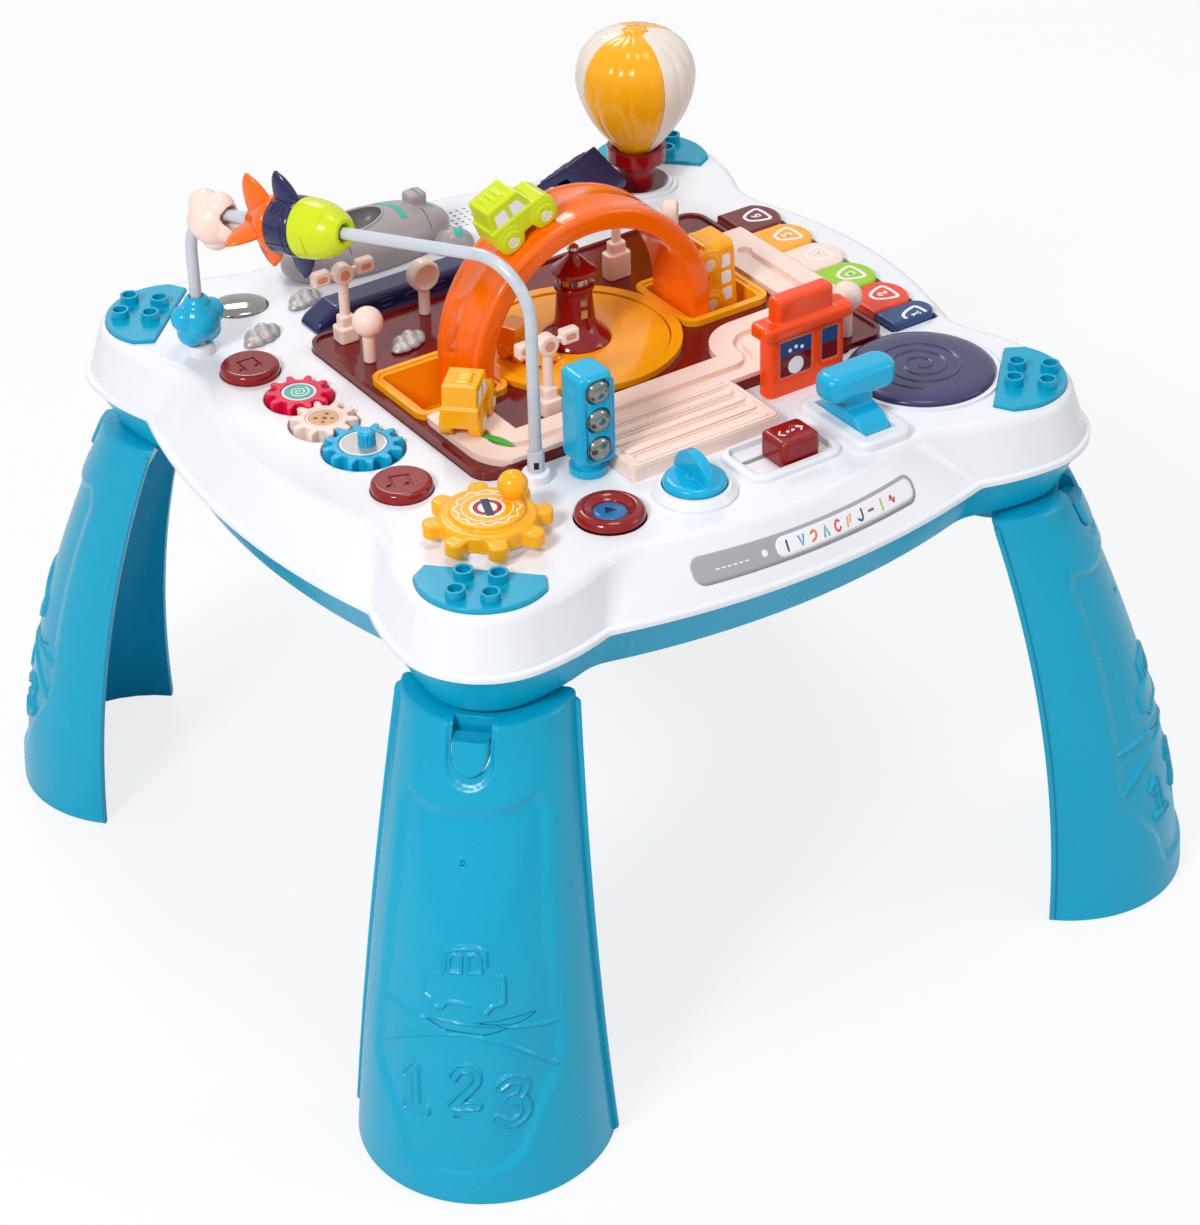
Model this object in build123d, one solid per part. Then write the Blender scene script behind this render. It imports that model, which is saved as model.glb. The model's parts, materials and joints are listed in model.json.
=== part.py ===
from build123d import *
import os
from math import atan2, cos, degrees, hypot, pi, radians, sin, sqrt, tan

os.makedirs("parts", exist_ok=True)

# Musical activity table. Millimetres, +Z up, origin on the floor under the middle of the deck.
# The long front edge faces -Y, the row of keys runs along +X.

# ---------------------------------------------------------------- heights
leg_height = 219.0          # floor to the shoulder that carries a socket collar
collar_height = 10.0
lower_depth = 24.0
upper_depth = 29.0
floor_z = leg_height + collar_height        # underside of the lower shell
seam_z = floor_z + lower_depth              # joint between the two shells
deck_z = seam_z + upper_depth               # play surface

# ---------------------------------------------------------------- shells
shell_wall = 2.4
lip_height = 3.0
lip_inset = 2.4             # step from the lip to the skirt
side_reach = 202.0          # centre to the middle of one side, at the lip
side_radius = 410.0
lobe_centre = 149.5         # a corner lobe's centre, in x and in y
lobe_radius = 45.0
flank_radius = 126.5
lip_notch = 6.0             # rounding where a side meets a lobe, at the lip
deck_reach = 184.0          # the same side at the deck
deck_side_radius = 205.0
deck_lobe_radius = 34.5
deck_flank_radius = 110.0
deck_notch = 40.0
base_notch = 24.0
deck_edge_fillet = 6.0
base_inset_side = 14.0      # how far the lower shell draws in by its floor
lobe_diagonal = lobe_centre * sqrt(2)

# ---------------------------------------------------------------- legs and sockets
collar_radius = 27.5
spigot_radius = 23.0
spigot_wall = 2.5
spigot_rise = 19.0          # how far a leg's spigot goes up into its collar
socket_clear = 0.3
leg_wall = 2.6
leg_top_block = 10.0
leg_rim = 7.0               # height of the leg's rim above the shoulder
foot_back = 254.7           # diagonal radius of the open edge at the floor
top_back = 213.0
foot_front = 318.5
top_front = 249.5
foot_half = 62.5
top_half = 40.5
flange_width = 2.4
flange_depth = 2.6
latch_width = 16.8
latch_height = 22.0
latch_thick = 3.6
latch_gap = 0.6
latch_travel = 2.0

# ---------------------------------------------------------------- fits
run_clear = 0.06            # radial clearance of a turning hub
slide_clear = 0.35          # side clearance of a loose sliding piece
cap_clear = 0.45            # gap round a push button or a key
seat_gap = 0.3              # gap under a captive flange

# ---------------------------------------------------------------- centre board
board_west = -109.0
board_east = 131.0
board_south = -84.5
board_north = 81.0
board_corner = 10.0
board_thick = 4.0
board_lift = 3.0            # board's floor above the deck
board_rim_height = 1.2
board_rim_width = 2.2
board_ledge = 6.0
board_floor_z = deck_z + board_lift

# ---------------------------------------------------------------- road
road_height = 4.0
road_slot = 4.5
road_rail = 12.0
road_south = -83.2
road_bend = 16.5
road_west_x = -88.5
road_south_y = -74.0
road_step_x = 58.0
road_north_y = -49.0
road_east_x = 121.3
road_east_end = 23.0
road_strip_end = 46.0
road_west_end = -29.0
crossing_west = -51.0
crossing_east = 34.5
crossing_south = -124.5
crossing_thick = 2.4
rib_count = 5
rib_height = 1.2
road_top_z = board_floor_z + road_height

# ---------------------------------------------------------------- tray, turntable, arch
tray_ring_radius = 53.5
tray_rim_width = 2.8
tray_flange_z = board_floor_z
tray_flange_thick = 2.6
tray_rim_z = deck_z + 6.4
tray_wall = 2.4
tray_clear = 0.4            # gap between the tray's walls and the board
bin_near_x = 52.2
bin_far_x = 104.5
bin_south = -24.0
bin_north = 28.0
bin_corner = 8.0
bin_depth = 20.0            # floor of a bin below the deck
disc_radius = 47.2
disc_gap = 0.5
disc_thick = 2.4
disc_top_z = deck_z + 5.6
pivot_radius = 4.0
arch_outer = 70.3
arch_inner = 59.3
arch_half_width = 18.5
arch_centre_z = deck_z + 11.0
arch_wall = 2.4
arch_slot = 2.0
foot_clear = 0.3

# ---------------------------------------------------------------- cars
car_width = 19.0
car_length = 36.0
car_height = 27.0
bus_length = 40.0
bus_width = 22.0
bus_height = 21.0
wheel_radius = 5.2
wheel_width = 3.0
tongue_thick = 1.2
tongue_depth = 4.6
wheel_gap = 0.3
green_car_angle = -24.5     # from the top of the arch, towards +X
bus_angle = 86.0
yellow_car_y = -40.0
yellow_car_turn = 45.0
guide_pin_radius = 1.9

# ---------------------------------------------------------------- bead wire
wire_radius = 3.0
wire_start = (-85.5, -94.5)
wire_end = (-153.8, 107.0)
wire_top_start = 395.5      # height of the sloping run at the near upright
wire_top_end = 361.5        # and at the far upright
wire_bend = 27.0
wire_collar_radius = 7.0
wire_collar_height = 5.0
bead_hole = 3.6
rocket_nose_at = 109.6      # distances along the wire's plan, from the near upright
nose_length = 24.5
body_length = 15.6
tail_length = 18.6
rocket_radius = 14.8
piece_gap = 0.4
cloud_place = 0.83           # share of the far bend from its outer end
body_fin_radius = 28.5
tail_fin_radius = 24.0
fin_thick = 4.0

# ---------------------------------------------------------------- buttons, keys, gears
button_radius = 14.8
start_radius = 16.8
button_rise = 5.0
cap_flange = 1.6
note_front = (-141.2, -65.0)
note_back = (-144.0, 74.4)
start_at = (-76.3, -142.0)
key_pitch = 27.0
key_west = 136.3
key_east = 165.0
key_north = 68.5
key_last_width = 16.0
key_gap = 0.8
key_rise = 4.4
tooth_size = 2.92           # pitch diameter per tooth
gear_teeth = {"gear_pink": 10, "gear_cream": 10, "gear_blue": 12}
gear_zigzag = 3.0
gear_middle = (-140.2, 8.6)
gear_well_depth = 9.0
gear_rise = 3.6
gear_well_gap = 1.2
gear_well_wall = 1.4
gear_post_radius = 3.0

# ---------------------------------------------------------------- other toys
crank_at = (-130.7, -123.5)
crank_radius = 22.8
crank_lobe_reach = 30.2
crank_lobes = 8
crank_knob_radius = 7.2
crank_seat_radius = 22.0
crank_seat_height = 4.2
crank_hub_radius = 5.0
dial_at = (-32.0, -146.9)
dial_radius = 15.1
dial_collar_radius = 20.4
dial_collar_height = 4.6
traffic_at = (-61.4, -102.2)
traffic_width = 19.0
traffic_depth = 20.0
traffic_height = 47.0
lens_radius = 6.3
lens_pitch = 15.2
slider_at = (19.5, -147.0)
slider_size = (22.6, 19.0, 13.0)
slider_reach = 10.0
slider_rest = 3.6           # where the block stands, past the middle of its slot
slider_room = 6.0           # free floor of the recess behind the block
slider_slot = 3.0
slider_slot_back = 6.5      # slot behind the block's middle
lever_at = (66.0, -141.0)
lever_drum = 21.0
lever_width = 17.0
lever_bar = 41.5
lever_drop = 9.0            # lever axis below the deck
stub_radius = 3.0
record_at = (122.6, -121.2)
record_radius = 36.2
station_at = (68.5, -95.5)
station_width = 46.0
station_depth = 10.0
joystick_at = (128.0, 131.0)
joystick_hole = 17.0
joystick_pivot_drop = 14.0
pot_radius = 10.6
pot_rim_radius = 16.0
pot_height = 24.0
balloon_radius = 32.0
balloon_height = 71.0
thin_wall = 2.0             # wall of the hollow fixed toys
sub_at = (-34.0, 146.0)
sub_size = (50.0, 21.5, 18.0)
train_at = (-38.0, 95.0)
train_length = 122.0
train_width = 17.0
train_height = 11.5
train_slot = 4.0
train_travel = 25.0
house_at = (91.0, 123.0)
house_turn = 27.6
plate_radius = 32.0
plate_chord = 210.5         # diagonal radius of a corner plate's straight edge
plate_half = 28.0
plate_rise = 2.0
plate_thick = 3.0
stud_radius = 4.7
stud_bore = 3.4
stud_height = 4.6
stud_pitch = 16.0
stud_centre = 226.4         # diagonal radius of the middle of the four studs

# ---------------------------------------------------------------- electronics
battery_length = 50.5
battery_radius = 7.2
battery_count = 3
battery_at = (0.0, 40.0)
door_thick = 2.0
board_card_thick = 1.6
speaker_at = (28.0, 154.0)
speaker_radius = 20.0
screw_radius = 1.5
screw_head_radius = 3.0
screw_post_radius = 5.0
screw_corner = (102.0, 138.0)       # a screw near each corner, in x and in y
screw_west_x = -170.0
screw_east = (174.0, -12.0)


# ================================================================ helpers
def disc(radius, low, high, at=(0, 0)):
    """A vertical cylinder between two heights."""
    shape = Cylinder(radius, high - low, align=(Align.CENTER, Align.CENTER, Align.MIN))
    return Pos(at[0], at[1], low) * shape


def ring(outer, inner, low, high, at=(0, 0)):
    return disc(outer, low, high, at) - disc(inner, low - 1, high + 1, at)


def block(x0, x1, y0, y1, z0, z1):
    return Pos((x0 + x1) / 2, (y0 + y1) / 2, (z0 + z1) / 2) * Box(x1 - x0, y1 - y0, z1 - z0)


def slab(x0, x1, y0, y1, z0, z1, corner):
    """A block with rounded vertical corners."""
    face = Pos((x0 + x1) / 2, (y0 + y1) / 2, z0) * RectangleRounded(x1 - x0, y1 - y0, corner)
    return extrude(face, z1 - z0)


def stadium(length, width, z0, z1, at, turn=0):
    """An upright prism with round ends, long way along the turned X axis."""
    face = Pos(at[0], at[1], z0) * Rot(0, 0, turn) * SlotOverall(length, width)
    return extrude(face, z1 - z0)


def turned(points, at=(0, 0), base=0.0):
    """A solid of revolution about a vertical axis from (radius, height) points."""
    path = Polyline(*[(r, 0, base + z) for r, z in points], close=True)
    return Pos(at[0], at[1], 0) * revolve(make_face(path), Axis.Z)


def soften(shape, radius, edges=None):
    """Round some edges, or all of them."""
    return fillet(shape.edges() if edges is None else edges, radius)


def top_edges(shape):
    return shape.edges().group_by(Axis.Z)[-1]


def solid_of(shape):
    """The one largest solid of a result."""
    return max(shape.solids(), key=lambda s: s.volume)


def save(name, shape, solids=1):
    found = shape.solids()
    if len(found) != solids:
        print("note:", name, "has", len(found), "solids, expected", solids)
    body = found[0] if len(found) == 1 else Compound(children=list(found))
    body.label = name
    export_step(body, f"parts/{name}.step")
    box = body.bounding_box()
    print(f"{name:20s} {box.min.X:8.2f} {box.max.X:8.2f} {box.min.Y:8.2f} {box.max.Y:8.2f}"
          f" {box.min.Z:8.2f} {box.max.Z:8.2f}  {sum(s.volume for s in found):10.0f}")


def grouped(shapes):
    return Compound(children=[s for shape in shapes for s in shape.solids()])


# ================================================================ shell outline
def notch_point(reach, side_r, lobe_r, flank_r):
    """Where a bowed side meets the flank of a corner lobe, right half of the +Y side."""
    side_c = reach - side_r
    flank_c = lobe_centre + lobe_r - flank_r
    gap = hypot(lobe_centre, flank_c - side_c)
    along = (gap ** 2 + side_r ** 2 - flank_r ** 2) / (2 * gap)
    off = sqrt(side_r ** 2 - along ** 2)
    ux, uy = lobe_centre / gap, (flank_c - side_c) / gap
    return (ux * along - uy * off, side_c + uy * along + ux * off)


def arc_mid(a, b, centre, radius):
    """The point half way round the short arc from a to b."""
    mx, my = (a[0] + b[0]) / 2 - centre[0], (a[1] + b[1]) / 2 - centre[1]
    size = hypot(mx, my)
    return (centre[0] + mx / size * radius, centre[1] + my / size * radius)


def outline(reach, side_r, lobe_r, flank_r, z, corner):
    """The table's plan at height z: four bowed sides between four round lobes."""
    notch = notch_point(reach, side_r, lobe_r, flank_r)
    tip = (lobe_centre, lobe_centre + lobe_r)
    flank_c = (lobe_centre, lobe_centre + lobe_r - flank_r)
    side_c = (0, reach - side_r)
    bulge = arc_mid(tip, notch, flank_c, flank_r)
    lobe_mid = lobe_centre + lobe_r / sqrt(2)
    edges = []
    for quarter in range(4):
        turn = Rot(0, 0, 90 * quarter)
        left, left_bulge, left_tip = ((-p[0], p[1]) for p in (notch, bulge, tip))
        parts = [ThreePointArc(tip, bulge, notch),
                 ThreePointArc(notch, (0, reach), left),
                 ThreePointArc(left, left_bulge, left_tip),
                 ThreePointArc(left_tip, (-lobe_mid, lobe_mid), (-tip[1], tip[0]))]
        edges += [turn * part for part in parts]
    face = make_face(edges)
    far = hypot(*notch)
    notches = [v for v in face.vertices() if abs(hypot(v.X, v.Y) - far) < 0.01]
    return Pos(0, 0, z) * fillet(notches, corner)


def lip_outline(inset, z):
    return outline(side_reach - inset, side_radius - inset, lobe_radius - inset,
                   flank_radius - inset, z, lip_notch + inset)


def deck_outline(inset, z):
    return outline(deck_reach - inset, deck_side_radius - inset, deck_lobe_radius - inset,
                   deck_flank_radius - inset, z, deck_notch)


def base_outline(inset, z):
    drawn_in = base_inset_side + inset
    return outline(side_reach - drawn_in, side_radius - drawn_in, lobe_radius - drawn_in,
                   flank_radius - drawn_in, z, base_notch)


def shell_between(low, high):
    return solid_of(loft([low, high], ruled=True))


# ================================================================ places on the deck
def gear_centres():
    """Three gear centres in a zigzag column, at their meshing distances."""
    pitch = {name: teeth * tooth_size / 2 for name, teeth in gear_teeth.items()}
    x, y = gear_middle
    up = sqrt((pitch["gear_cream"] + pitch["gear_pink"]) ** 2 - gear_zigzag ** 2)
    down = sqrt((pitch["gear_cream"] + pitch["gear_blue"]) ** 2 - gear_zigzag ** 2)
    return {"gear_pink": (x + gear_zigzag, y + up), "gear_cream": (x, y),
            "gear_blue": (x + gear_zigzag, y - down)}


gear_at = gear_centres()
gear_floor_z = deck_z - gear_well_depth
deck_under_z = deck_z - shell_wall


def key_spans():
    """South and north edge of each key, key 6 first."""
    spans = []
    north = key_north
    for number in range(6, 0, -1):
        width = key_last_width if number == 1 else key_pitch
        spans.append((number, north - width + key_gap / 2, north - key_gap / 2))
        north -= width
    return spans


def lobe_turns():
    return {"front_left": 225, "front_right": 315, "back_right": 45, "back_left": 135}


def at_lobe(turn, shape):
    """Turn a shape built along +X into one corner."""
    return Rot(0, 0, turn) * shape


# ================================================================ road outline
def road_path():
    points = [(road_west_x, road_west_end), (road_west_x, road_south_y),
              (road_step_x, road_south_y), (road_step_x, road_north_y),
              (road_east_x, road_north_y), (road_east_x, road_east_end)]
    return points


def road_ribbon(half_width, z0, z1, start=0.0, end=0.0, bend=0.0):
    """A prism along the road's centre line, from its first point to its last."""
    points = road_path()
    points[0] = (points[0][0], points[0][1] + start)
    points[-1] = (points[-1][0], points[-1][1] + end)
    line = FilletPolyline(*points, radius=min(road_bend, 12.0) + bend)
    face = Face(offset(line, half_width, side=Side.BOTH, kind=Kind.ARC).wire())
    return extrude(Pos(0, 0, z0) * face, z1 - z0)


# ================================================================ tray outline
def tray_sketch(grow):
    """Plan of the tray: a ring between two bins, made larger by grow."""
    shape = Circle(tray_ring_radius + grow)
    width = bin_far_x - bin_near_x + 2 * grow
    depth = bin_north - bin_south + 2 * grow
    middle_x = (bin_far_x + bin_near_x) / 2
    middle_y = (bin_north + bin_south) / 2
    for side in (-1, 1):
        shape += Pos(side * middle_x, middle_y) * RectangleRounded(width, depth, bin_corner + grow)
    return shape


def bin_hollow(side, inset, low, high):
    x0, x1 = bin_near_x + inset, bin_far_x - inset
    if side < 0:
        x0, x1 = -x1, -x0
    return slab(x0, x1, bin_south + inset, bin_north - inset, low, high, bin_corner - inset)


# ================================================================ shells
def deck_openings():
    """Everything that is cut out of the deck's plate."""
    high = deck_z + 20
    low = deck_under_z - 8
    cuts = []
    cuts.append(slab(board_west - 0.3, board_east + 0.3, board_south - 0.3, board_north + 0.3,
                     board_floor_z - board_thick, high, board_corner + 0.3))
    cuts.append(slab(board_west + board_ledge, board_east - board_ledge, board_south + board_ledge,
                     board_north - board_ledge, low, high, board_corner - board_ledge + 1))
    for at, radius in ((note_front, button_radius), (note_back, button_radius),
                       (start_at, start_radius)):
        cuts.append(disc(radius + cap_clear, low, high, at))
    north = key_north + cap_clear
    south = key_spans()[-1][1] - cap_clear
    cuts.append(slab(key_west - cap_clear, key_east + cap_clear, south, north, low, high, 0.8))
    cuts.append(disc(dial_radius * 0.34 + run_clear, low, high, dial_at))
    cuts.append(disc(traffic_stem_radius() + run_clear, low, high, traffic_at))
    cuts.append(disc(joystick_hole, low, high, joystick_at))
    cuts.append(stadium(2 * slider_reach + slider_size[0] * 0.8, slider_slot, low, high,
                        (slider_at[0], slider_at[1] + slider_slot_back)))
    cuts.append(lever_slot(low, high))
    cuts.append(stadium(train_travel + 13.0, train_slot, low, high,
                        (train_at[0] + train_travel / 2, train_at[1])))
    for dx in range(-3, 4):
        for dy in range(-2, 3):
            cuts.append(disc(1.0, low, high, (speaker_at[0] + 4.2 * dx, speaker_at[1] + 4.2 * dy)))
    return cuts


def traffic_stem_radius():
    return 5.0


def lever_slot(low, high):
    half = lever_width / 2 + slide_clear
    reach = sqrt(lever_drum ** 2 - (lever_drop - shell_wall) ** 2) + slide_clear
    return block(lever_at[0] - half, lever_at[0] + half, lever_at[1] - reach, lever_at[1] + reach,
                 low, high)


def deck_collars():
    """Raised bezels that stand on the deck round the toys."""
    parts = []
    inner = dial_radius + 0.6
    parts.append(turned([(inner, -shell_wall), (dial_collar_radius, -shell_wall),
                         (dial_collar_radius, 1.0), (inner + 1.6, dial_collar_height),
                         (inner, dial_collar_height)], dial_at, base=deck_z))
    seat = disc(crank_seat_radius, deck_under_z, deck_z + crank_seat_height, crank_at)
    parts.append(soften(seat, 1.4, top_edges(seat)))
    parts.append(ring(joystick_hole + 5.0, joystick_hole, deck_under_z, deck_z + 1.6, joystick_at))
    parts.append(ring(joystick_hole + 2.4, joystick_hole, deck_under_z, deck_z + 3.0, joystick_at))
    x, y = slider_at
    half_x = slider_reach + slider_size[0] / 2 + 1.2
    half_y = slider_size[1] / 2 + 1.2
    back_y = y + half_y + slider_room
    frame = slab(x - half_x - 4, x + half_x + 4, y - half_y - 4, back_y + 3.4,
                 deck_under_z, deck_z + 3.0, 9.0)
    frame = soften(frame, 1.4, top_edges(frame))
    parts.append(frame - slab(x - half_x, x + half_x, y - half_y, back_y,
                              deck_z, deck_z + 9, 5.0))
    x, y = lever_at
    half_x = lever_width / 2 + 7.5
    half_y = lever_drum + 6.0
    frame = slab(x - half_x, x + half_x, y - half_y, y + half_y, deck_under_z, deck_z + 5.0, 7.0)
    parts.append(soften(frame, 2.4, top_edges(frame)))
    for at in (wire_start, wire_end):
        collar = disc(wire_collar_radius, deck_under_z, deck_z + wire_collar_height, at)
        parts.append(soften(collar, 1.5, top_edges(collar)))
    parts.append(ring(record_radius + 3.4, record_radius + 0.8, deck_under_z, deck_z + 1.2,
                      record_at))
    return parts


def deck_bosses():
    """Hubs, wells and guides under the deck."""
    parts = []
    wall = gear_well_wall
    well = [disc(radius_of(name) + gear_well_gap + wall, gear_floor_z - wall, deck_z, at)
            for name, at in gear_at.items()]
    parts += well
    x, y = lever_at
    axis_z = deck_z - lever_drop
    for side in (-1, 1):
        inner = x + side * (lever_width / 2 + slide_clear)
        outer = inner + side * 4.0
        parts.append(block(min(inner, outer), max(inner, outer), y - 8, y + 8,
                           axis_z - 7, deck_z))
    parts.append(ring(joystick_hole - 2, joystick_ball() + 0.1, deck_z - joystick_pivot_drop - 5,
                      deck_z - joystick_pivot_drop + 5, joystick_at))
    parts.append(ring(joystick_hole + 2, joystick_hole - 2.5,
                      deck_z - joystick_pivot_drop - 5, deck_z, joystick_at))
    for at in (wire_start, wire_end):
        parts.append(disc(wire_collar_radius, deck_under_z - 6, deck_z, at))
    for x, y in screw_places():
        parts.append(ring(4.0, screw_radius - 0.2, seam_z - 6, deck_z - 1, (x, y)))
    return parts


def joystick_ball():
    return 8.0


def radius_of(name):
    return gear_teeth[name] * tooth_size / 2 + tooth_size * 0.66


def screw_places():
    """Screw bosses on each lobe's inner flank and at the middle of two sides."""
    x, y = screw_corner
    spots = [(sx * x, sy * y) for sx in (-1, 1) for sy in (-1, 1)]
    return spots + [(screw_west_x, 0.0), screw_east]


def corner_seat(turn, grow, low, high):
    """The recess or body of a half-moon corner plate."""
    return at_lobe(turn, extrude(Pos(0, 0, low) * plate_face(grow), high - low))


def plate_face(grow):
    """Half-moon plan: a straight inner edge, short flanks and a round outer edge."""
    centre = lobe_diagonal
    chord = plate_chord - grow
    half = plate_half + grow
    radius = plate_radius + grow
    knee_x = centre + 9.0
    knee_y = sqrt(radius ** 2 - 81.0)
    return make_face([Line((chord, -half), (knee_x, -knee_y)),
                      ThreePointArc((knee_x, -knee_y), (centre + radius, 0), (knee_x, knee_y)),
                      Line((knee_x, knee_y), (chord, half)),
                      Line((chord, half), (chord, -half))])


def top_shell():
    skirt = shell_between(lip_outline(lip_inset, seam_z + lip_height * 0.6),
                          deck_outline(0, deck_z))
    skirt = soften(skirt, deck_edge_fillet, top_edges(skirt))
    lip = extrude(lip_outline(0, seam_z), lip_height)
    lip = soften(lip, 0.9, top_edges(lip))
    hollow = shell_between(lip_outline(lip_inset + shell_wall, seam_z - 1),
                           deck_outline(shell_wall * 0.8, deck_under_z))
    shell = skirt + lip - hollow
    for part in deck_collars() + deck_bosses():
        shell += part
    for cut in deck_openings():
        shell -= cut
    x, y = station_at
    shell -= block(x - station_width / 2 - 0.3, x + station_width / 2 + 0.3,
                   y - station_depth / 2 - 0.3, y + station_depth / 2 + 0.3, deck_z, deck_z + 9)
    for turn in lobe_turns().values():
        shell -= corner_seat(turn, 0.3, deck_z + plate_rise - plate_thick, deck_z + 9)
    for name, at in gear_at.items():
        shell -= disc(radius_of(name) + gear_well_gap, gear_floor_z, deck_z + 9, at)
    for name, at in gear_at.items():
        shell += disc(gear_post_radius, gear_floor_z - 1, deck_z + gear_rise - 1.6, at)
    for at in (wire_start, wire_end):
        shell -= disc(wire_radius, deck_under_z - 3, deck_z + 20, at)
    shell += disc(crank_hub_radius, deck_under_z, deck_z + crank_seat_height + 5.6, crank_at)
    shell += disc(pivot_radius, deck_under_z, deck_z + 2.4, record_at)
    shell -= lever_slot(deck_under_z - 30, deck_z + 30) & block(
        lever_at[0] - 40, lever_at[0] + 40, lever_at[1] - 40, lever_at[1] + 40,
        deck_under_z - 0.5, deck_z + 30)
    axis_z = deck_z - lever_drop
    pin = Pos(lever_at[0], lever_at[1], axis_z) * Rot(0, 90, 0) * Cylinder(
        stub_radius + run_clear, lever_width + 16)
    shell -= pin
    return solid_of(shell)


def bottom_shell():
    low_wall = shell_wall
    outer = shell_between(base_outline(0, floor_z), lip_outline(lip_inset, seam_z))
    hollow = shell_between(base_outline(low_wall, floor_z + low_wall),
                           lip_outline(lip_inset + low_wall, seam_z + 0.01))
    shell = outer - hollow
    for turn in lobe_turns().values():
        collar = disc(collar_radius, leg_height, floor_z + low_wall, (lobe_diagonal, 0))
        cup = disc(spigot_radius + socket_clear + 2.5, floor_z, leg_height + spigot_rise + 4,
                   (lobe_diagonal, 0))
        bore = disc(spigot_radius + socket_clear, leg_height - 1,
                    leg_height + spigot_rise + 1.0, (lobe_diagonal, 0))
        shell += at_lobe(turn, collar)
        shell += at_lobe(turn, cup)
        shell -= at_lobe(turn, bore)
    for at in screw_places():
        post = disc(screw_post_radius, floor_z, seam_z - 6.0, at)
        shell += post
        shell -= disc(screw_radius + 0.3, floor_z - 1, seam_z + 1, at)
        shell -= disc(screw_head_radius + 0.6, floor_z - 1, floor_z + 8, at)
    shell += battery_box()
    shell -= battery_opening()
    shell += card_posts()
    return solid_of(shell)


# ================================================================ electronics
def battery_span():
    half_x = battery_count * (battery_radius + 0.6) + 2.0
    half_y = battery_length / 2 + 2.0
    return half_x, half_y


def battery_box():
    half_x, half_y = battery_span()
    x, y = battery_at
    top = floor_z + door_thick + 2 * battery_radius + 2.0
    return block(x - half_x - 2, x + half_x + 2, y - half_y - 2, y + half_y + 2, floor_z, top)


def battery_opening():
    half_x, half_y = battery_span()
    x, y = battery_at
    door = block(x - half_x - 0.3, x + half_x + 0.3, y - half_y - 0.3, y + half_y + 0.3,
                 floor_z - 1, floor_z + door_thick + 0.2)
    ledge = 1.6
    pocket = block(x - half_x + ledge, x + half_x - ledge, y - half_y + ledge,
                   y + half_y - ledge, floor_z, floor_z + door_thick + 2 * battery_radius + 0.4)
    return door + pocket


def battery_door():
    half_x, half_y = battery_span()
    x, y = battery_at
    plate = slab(x - half_x, x + half_x, y - half_y, y + half_y, floor_z, floor_z + door_thick, 2)
    for step in range(4):
        groove_y = y - half_y + 6 + 2.4 * step
        plate -= block(x - 9, x + 9, groove_y, groove_y + 1.0, floor_z - 1, floor_z + 0.6)
    return plate


def battery_cells():
    cells = []
    x, y = battery_at
    z = floor_z + door_thick + battery_radius
    for index in range(battery_count):
        dx = (index - (battery_count - 1) / 2) * (2 * battery_radius + 0.9)
        can = Pos(x + dx, y, z) * Rot(90, 0, 0) * Cylinder(battery_radius, battery_length - 1.5)
        cap_side = 1 if index % 2 == 0 else -1
        cap = Pos(x + dx, y + cap_side * (battery_length / 2 - 0.4), z) * Rot(90, 0, 0)
        cells.append(solid_of(can + cap * Cylinder(2.6, 1.2)))
    return grouped(cells)


card_low_z = floor_z + 15.0


def card_posts():
    posts = []
    for sx in (-1, 1):
        for sy in (-1, 1):
            posts.append(disc(3.0, floor_z, card_low_z, (sx * 40.0, -62.0 + sy * 26.0)))
    result = posts[0]
    for post in posts[1:]:
        result += post
    return result


def circuit_board():
    card = block(-46, 46, -94, -30, card_low_z, card_low_z + board_card_thick)
    chip = block(-9, 9, -70, -56, card_low_z + board_card_thick, card_low_z + board_card_thick + 3)
    can = disc(4.0, card_low_z + board_card_thick, card_low_z + board_card_thick + 11, (26, -50))
    plug = block(-38, -26, -46, -36, card_low_z + board_card_thick,
                 card_low_z + board_card_thick + 7)
    return card + chip + can + plug


def speaker():
    """A loudspeaker that hangs under the deck's grille."""
    top = deck_under_z
    profile = [(0, top - 9.0), (speaker_radius * 0.45, top - 9.0), (speaker_radius * 0.45, top - 4.0),
               (speaker_radius * 0.86, top - 2.2), (speaker_radius, top - 2.2),
               (speaker_radius, top), (speaker_radius * 0.84, top),
               (speaker_radius * 0.8, top - 1.2), (speaker_radius * 0.3, top - 3.4),
               (0, top - 3.4)]
    return turned(profile, speaker_at)


def case_screws():
    screws = []
    for at in screw_places():
        head = disc(screw_head_radius, floor_z + 5.4, floor_z + 8.0, at)
        shank = disc(screw_radius - 0.25, floor_z + 8.0 - 0.5, seam_z + 6.0, at)
        cross = block(at[0] - 1.6, at[0] + 1.6, at[1] - 0.4, at[1] + 0.4, floor_z, floor_z + 6.6)
        screws.append(solid_of(head + shank - cross))
    return grouped(screws)


# ================================================================ legs
def leg_back(t):
    return foot_back - (foot_back - top_back) * t ** 2


def leg_front(t):
    return foot_front - (foot_front - top_front) * t ** 1.6


def leg_half(t):
    return foot_half - (foot_half - top_half) * t


def leg_top_z():
    return leg_height + leg_rim


def leg_section(t, inset, reach_back=0.0):
    """Half-ellipse section of a leg at the share t of its height."""
    back, front = leg_back(t), leg_front(t)
    half = leg_half(t) - inset
    depth = front - back - inset
    bow = EllipticalCenterArc((back, 0), depth, half, -90, arc_size=180)
    low, high = (back, -half), (back, half)
    if reach_back <= 0:
        return Pos(0, 0, t * leg_top_z()) * make_face([bow, Line(high, low)])
    far = back - reach_back
    sides = Polyline(high, (far, half), (far, -half), low)
    return Pos(0, 0, t * leg_top_z()) * make_face([bow, sides])


leg_levels = (0.0, 0.25, 0.5, 0.75, 1.0)


def leg_solid(inset, reach_back=0.0):
    return solid_of(loft([leg_section(t, inset, reach_back) for t in leg_levels]))


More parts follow.
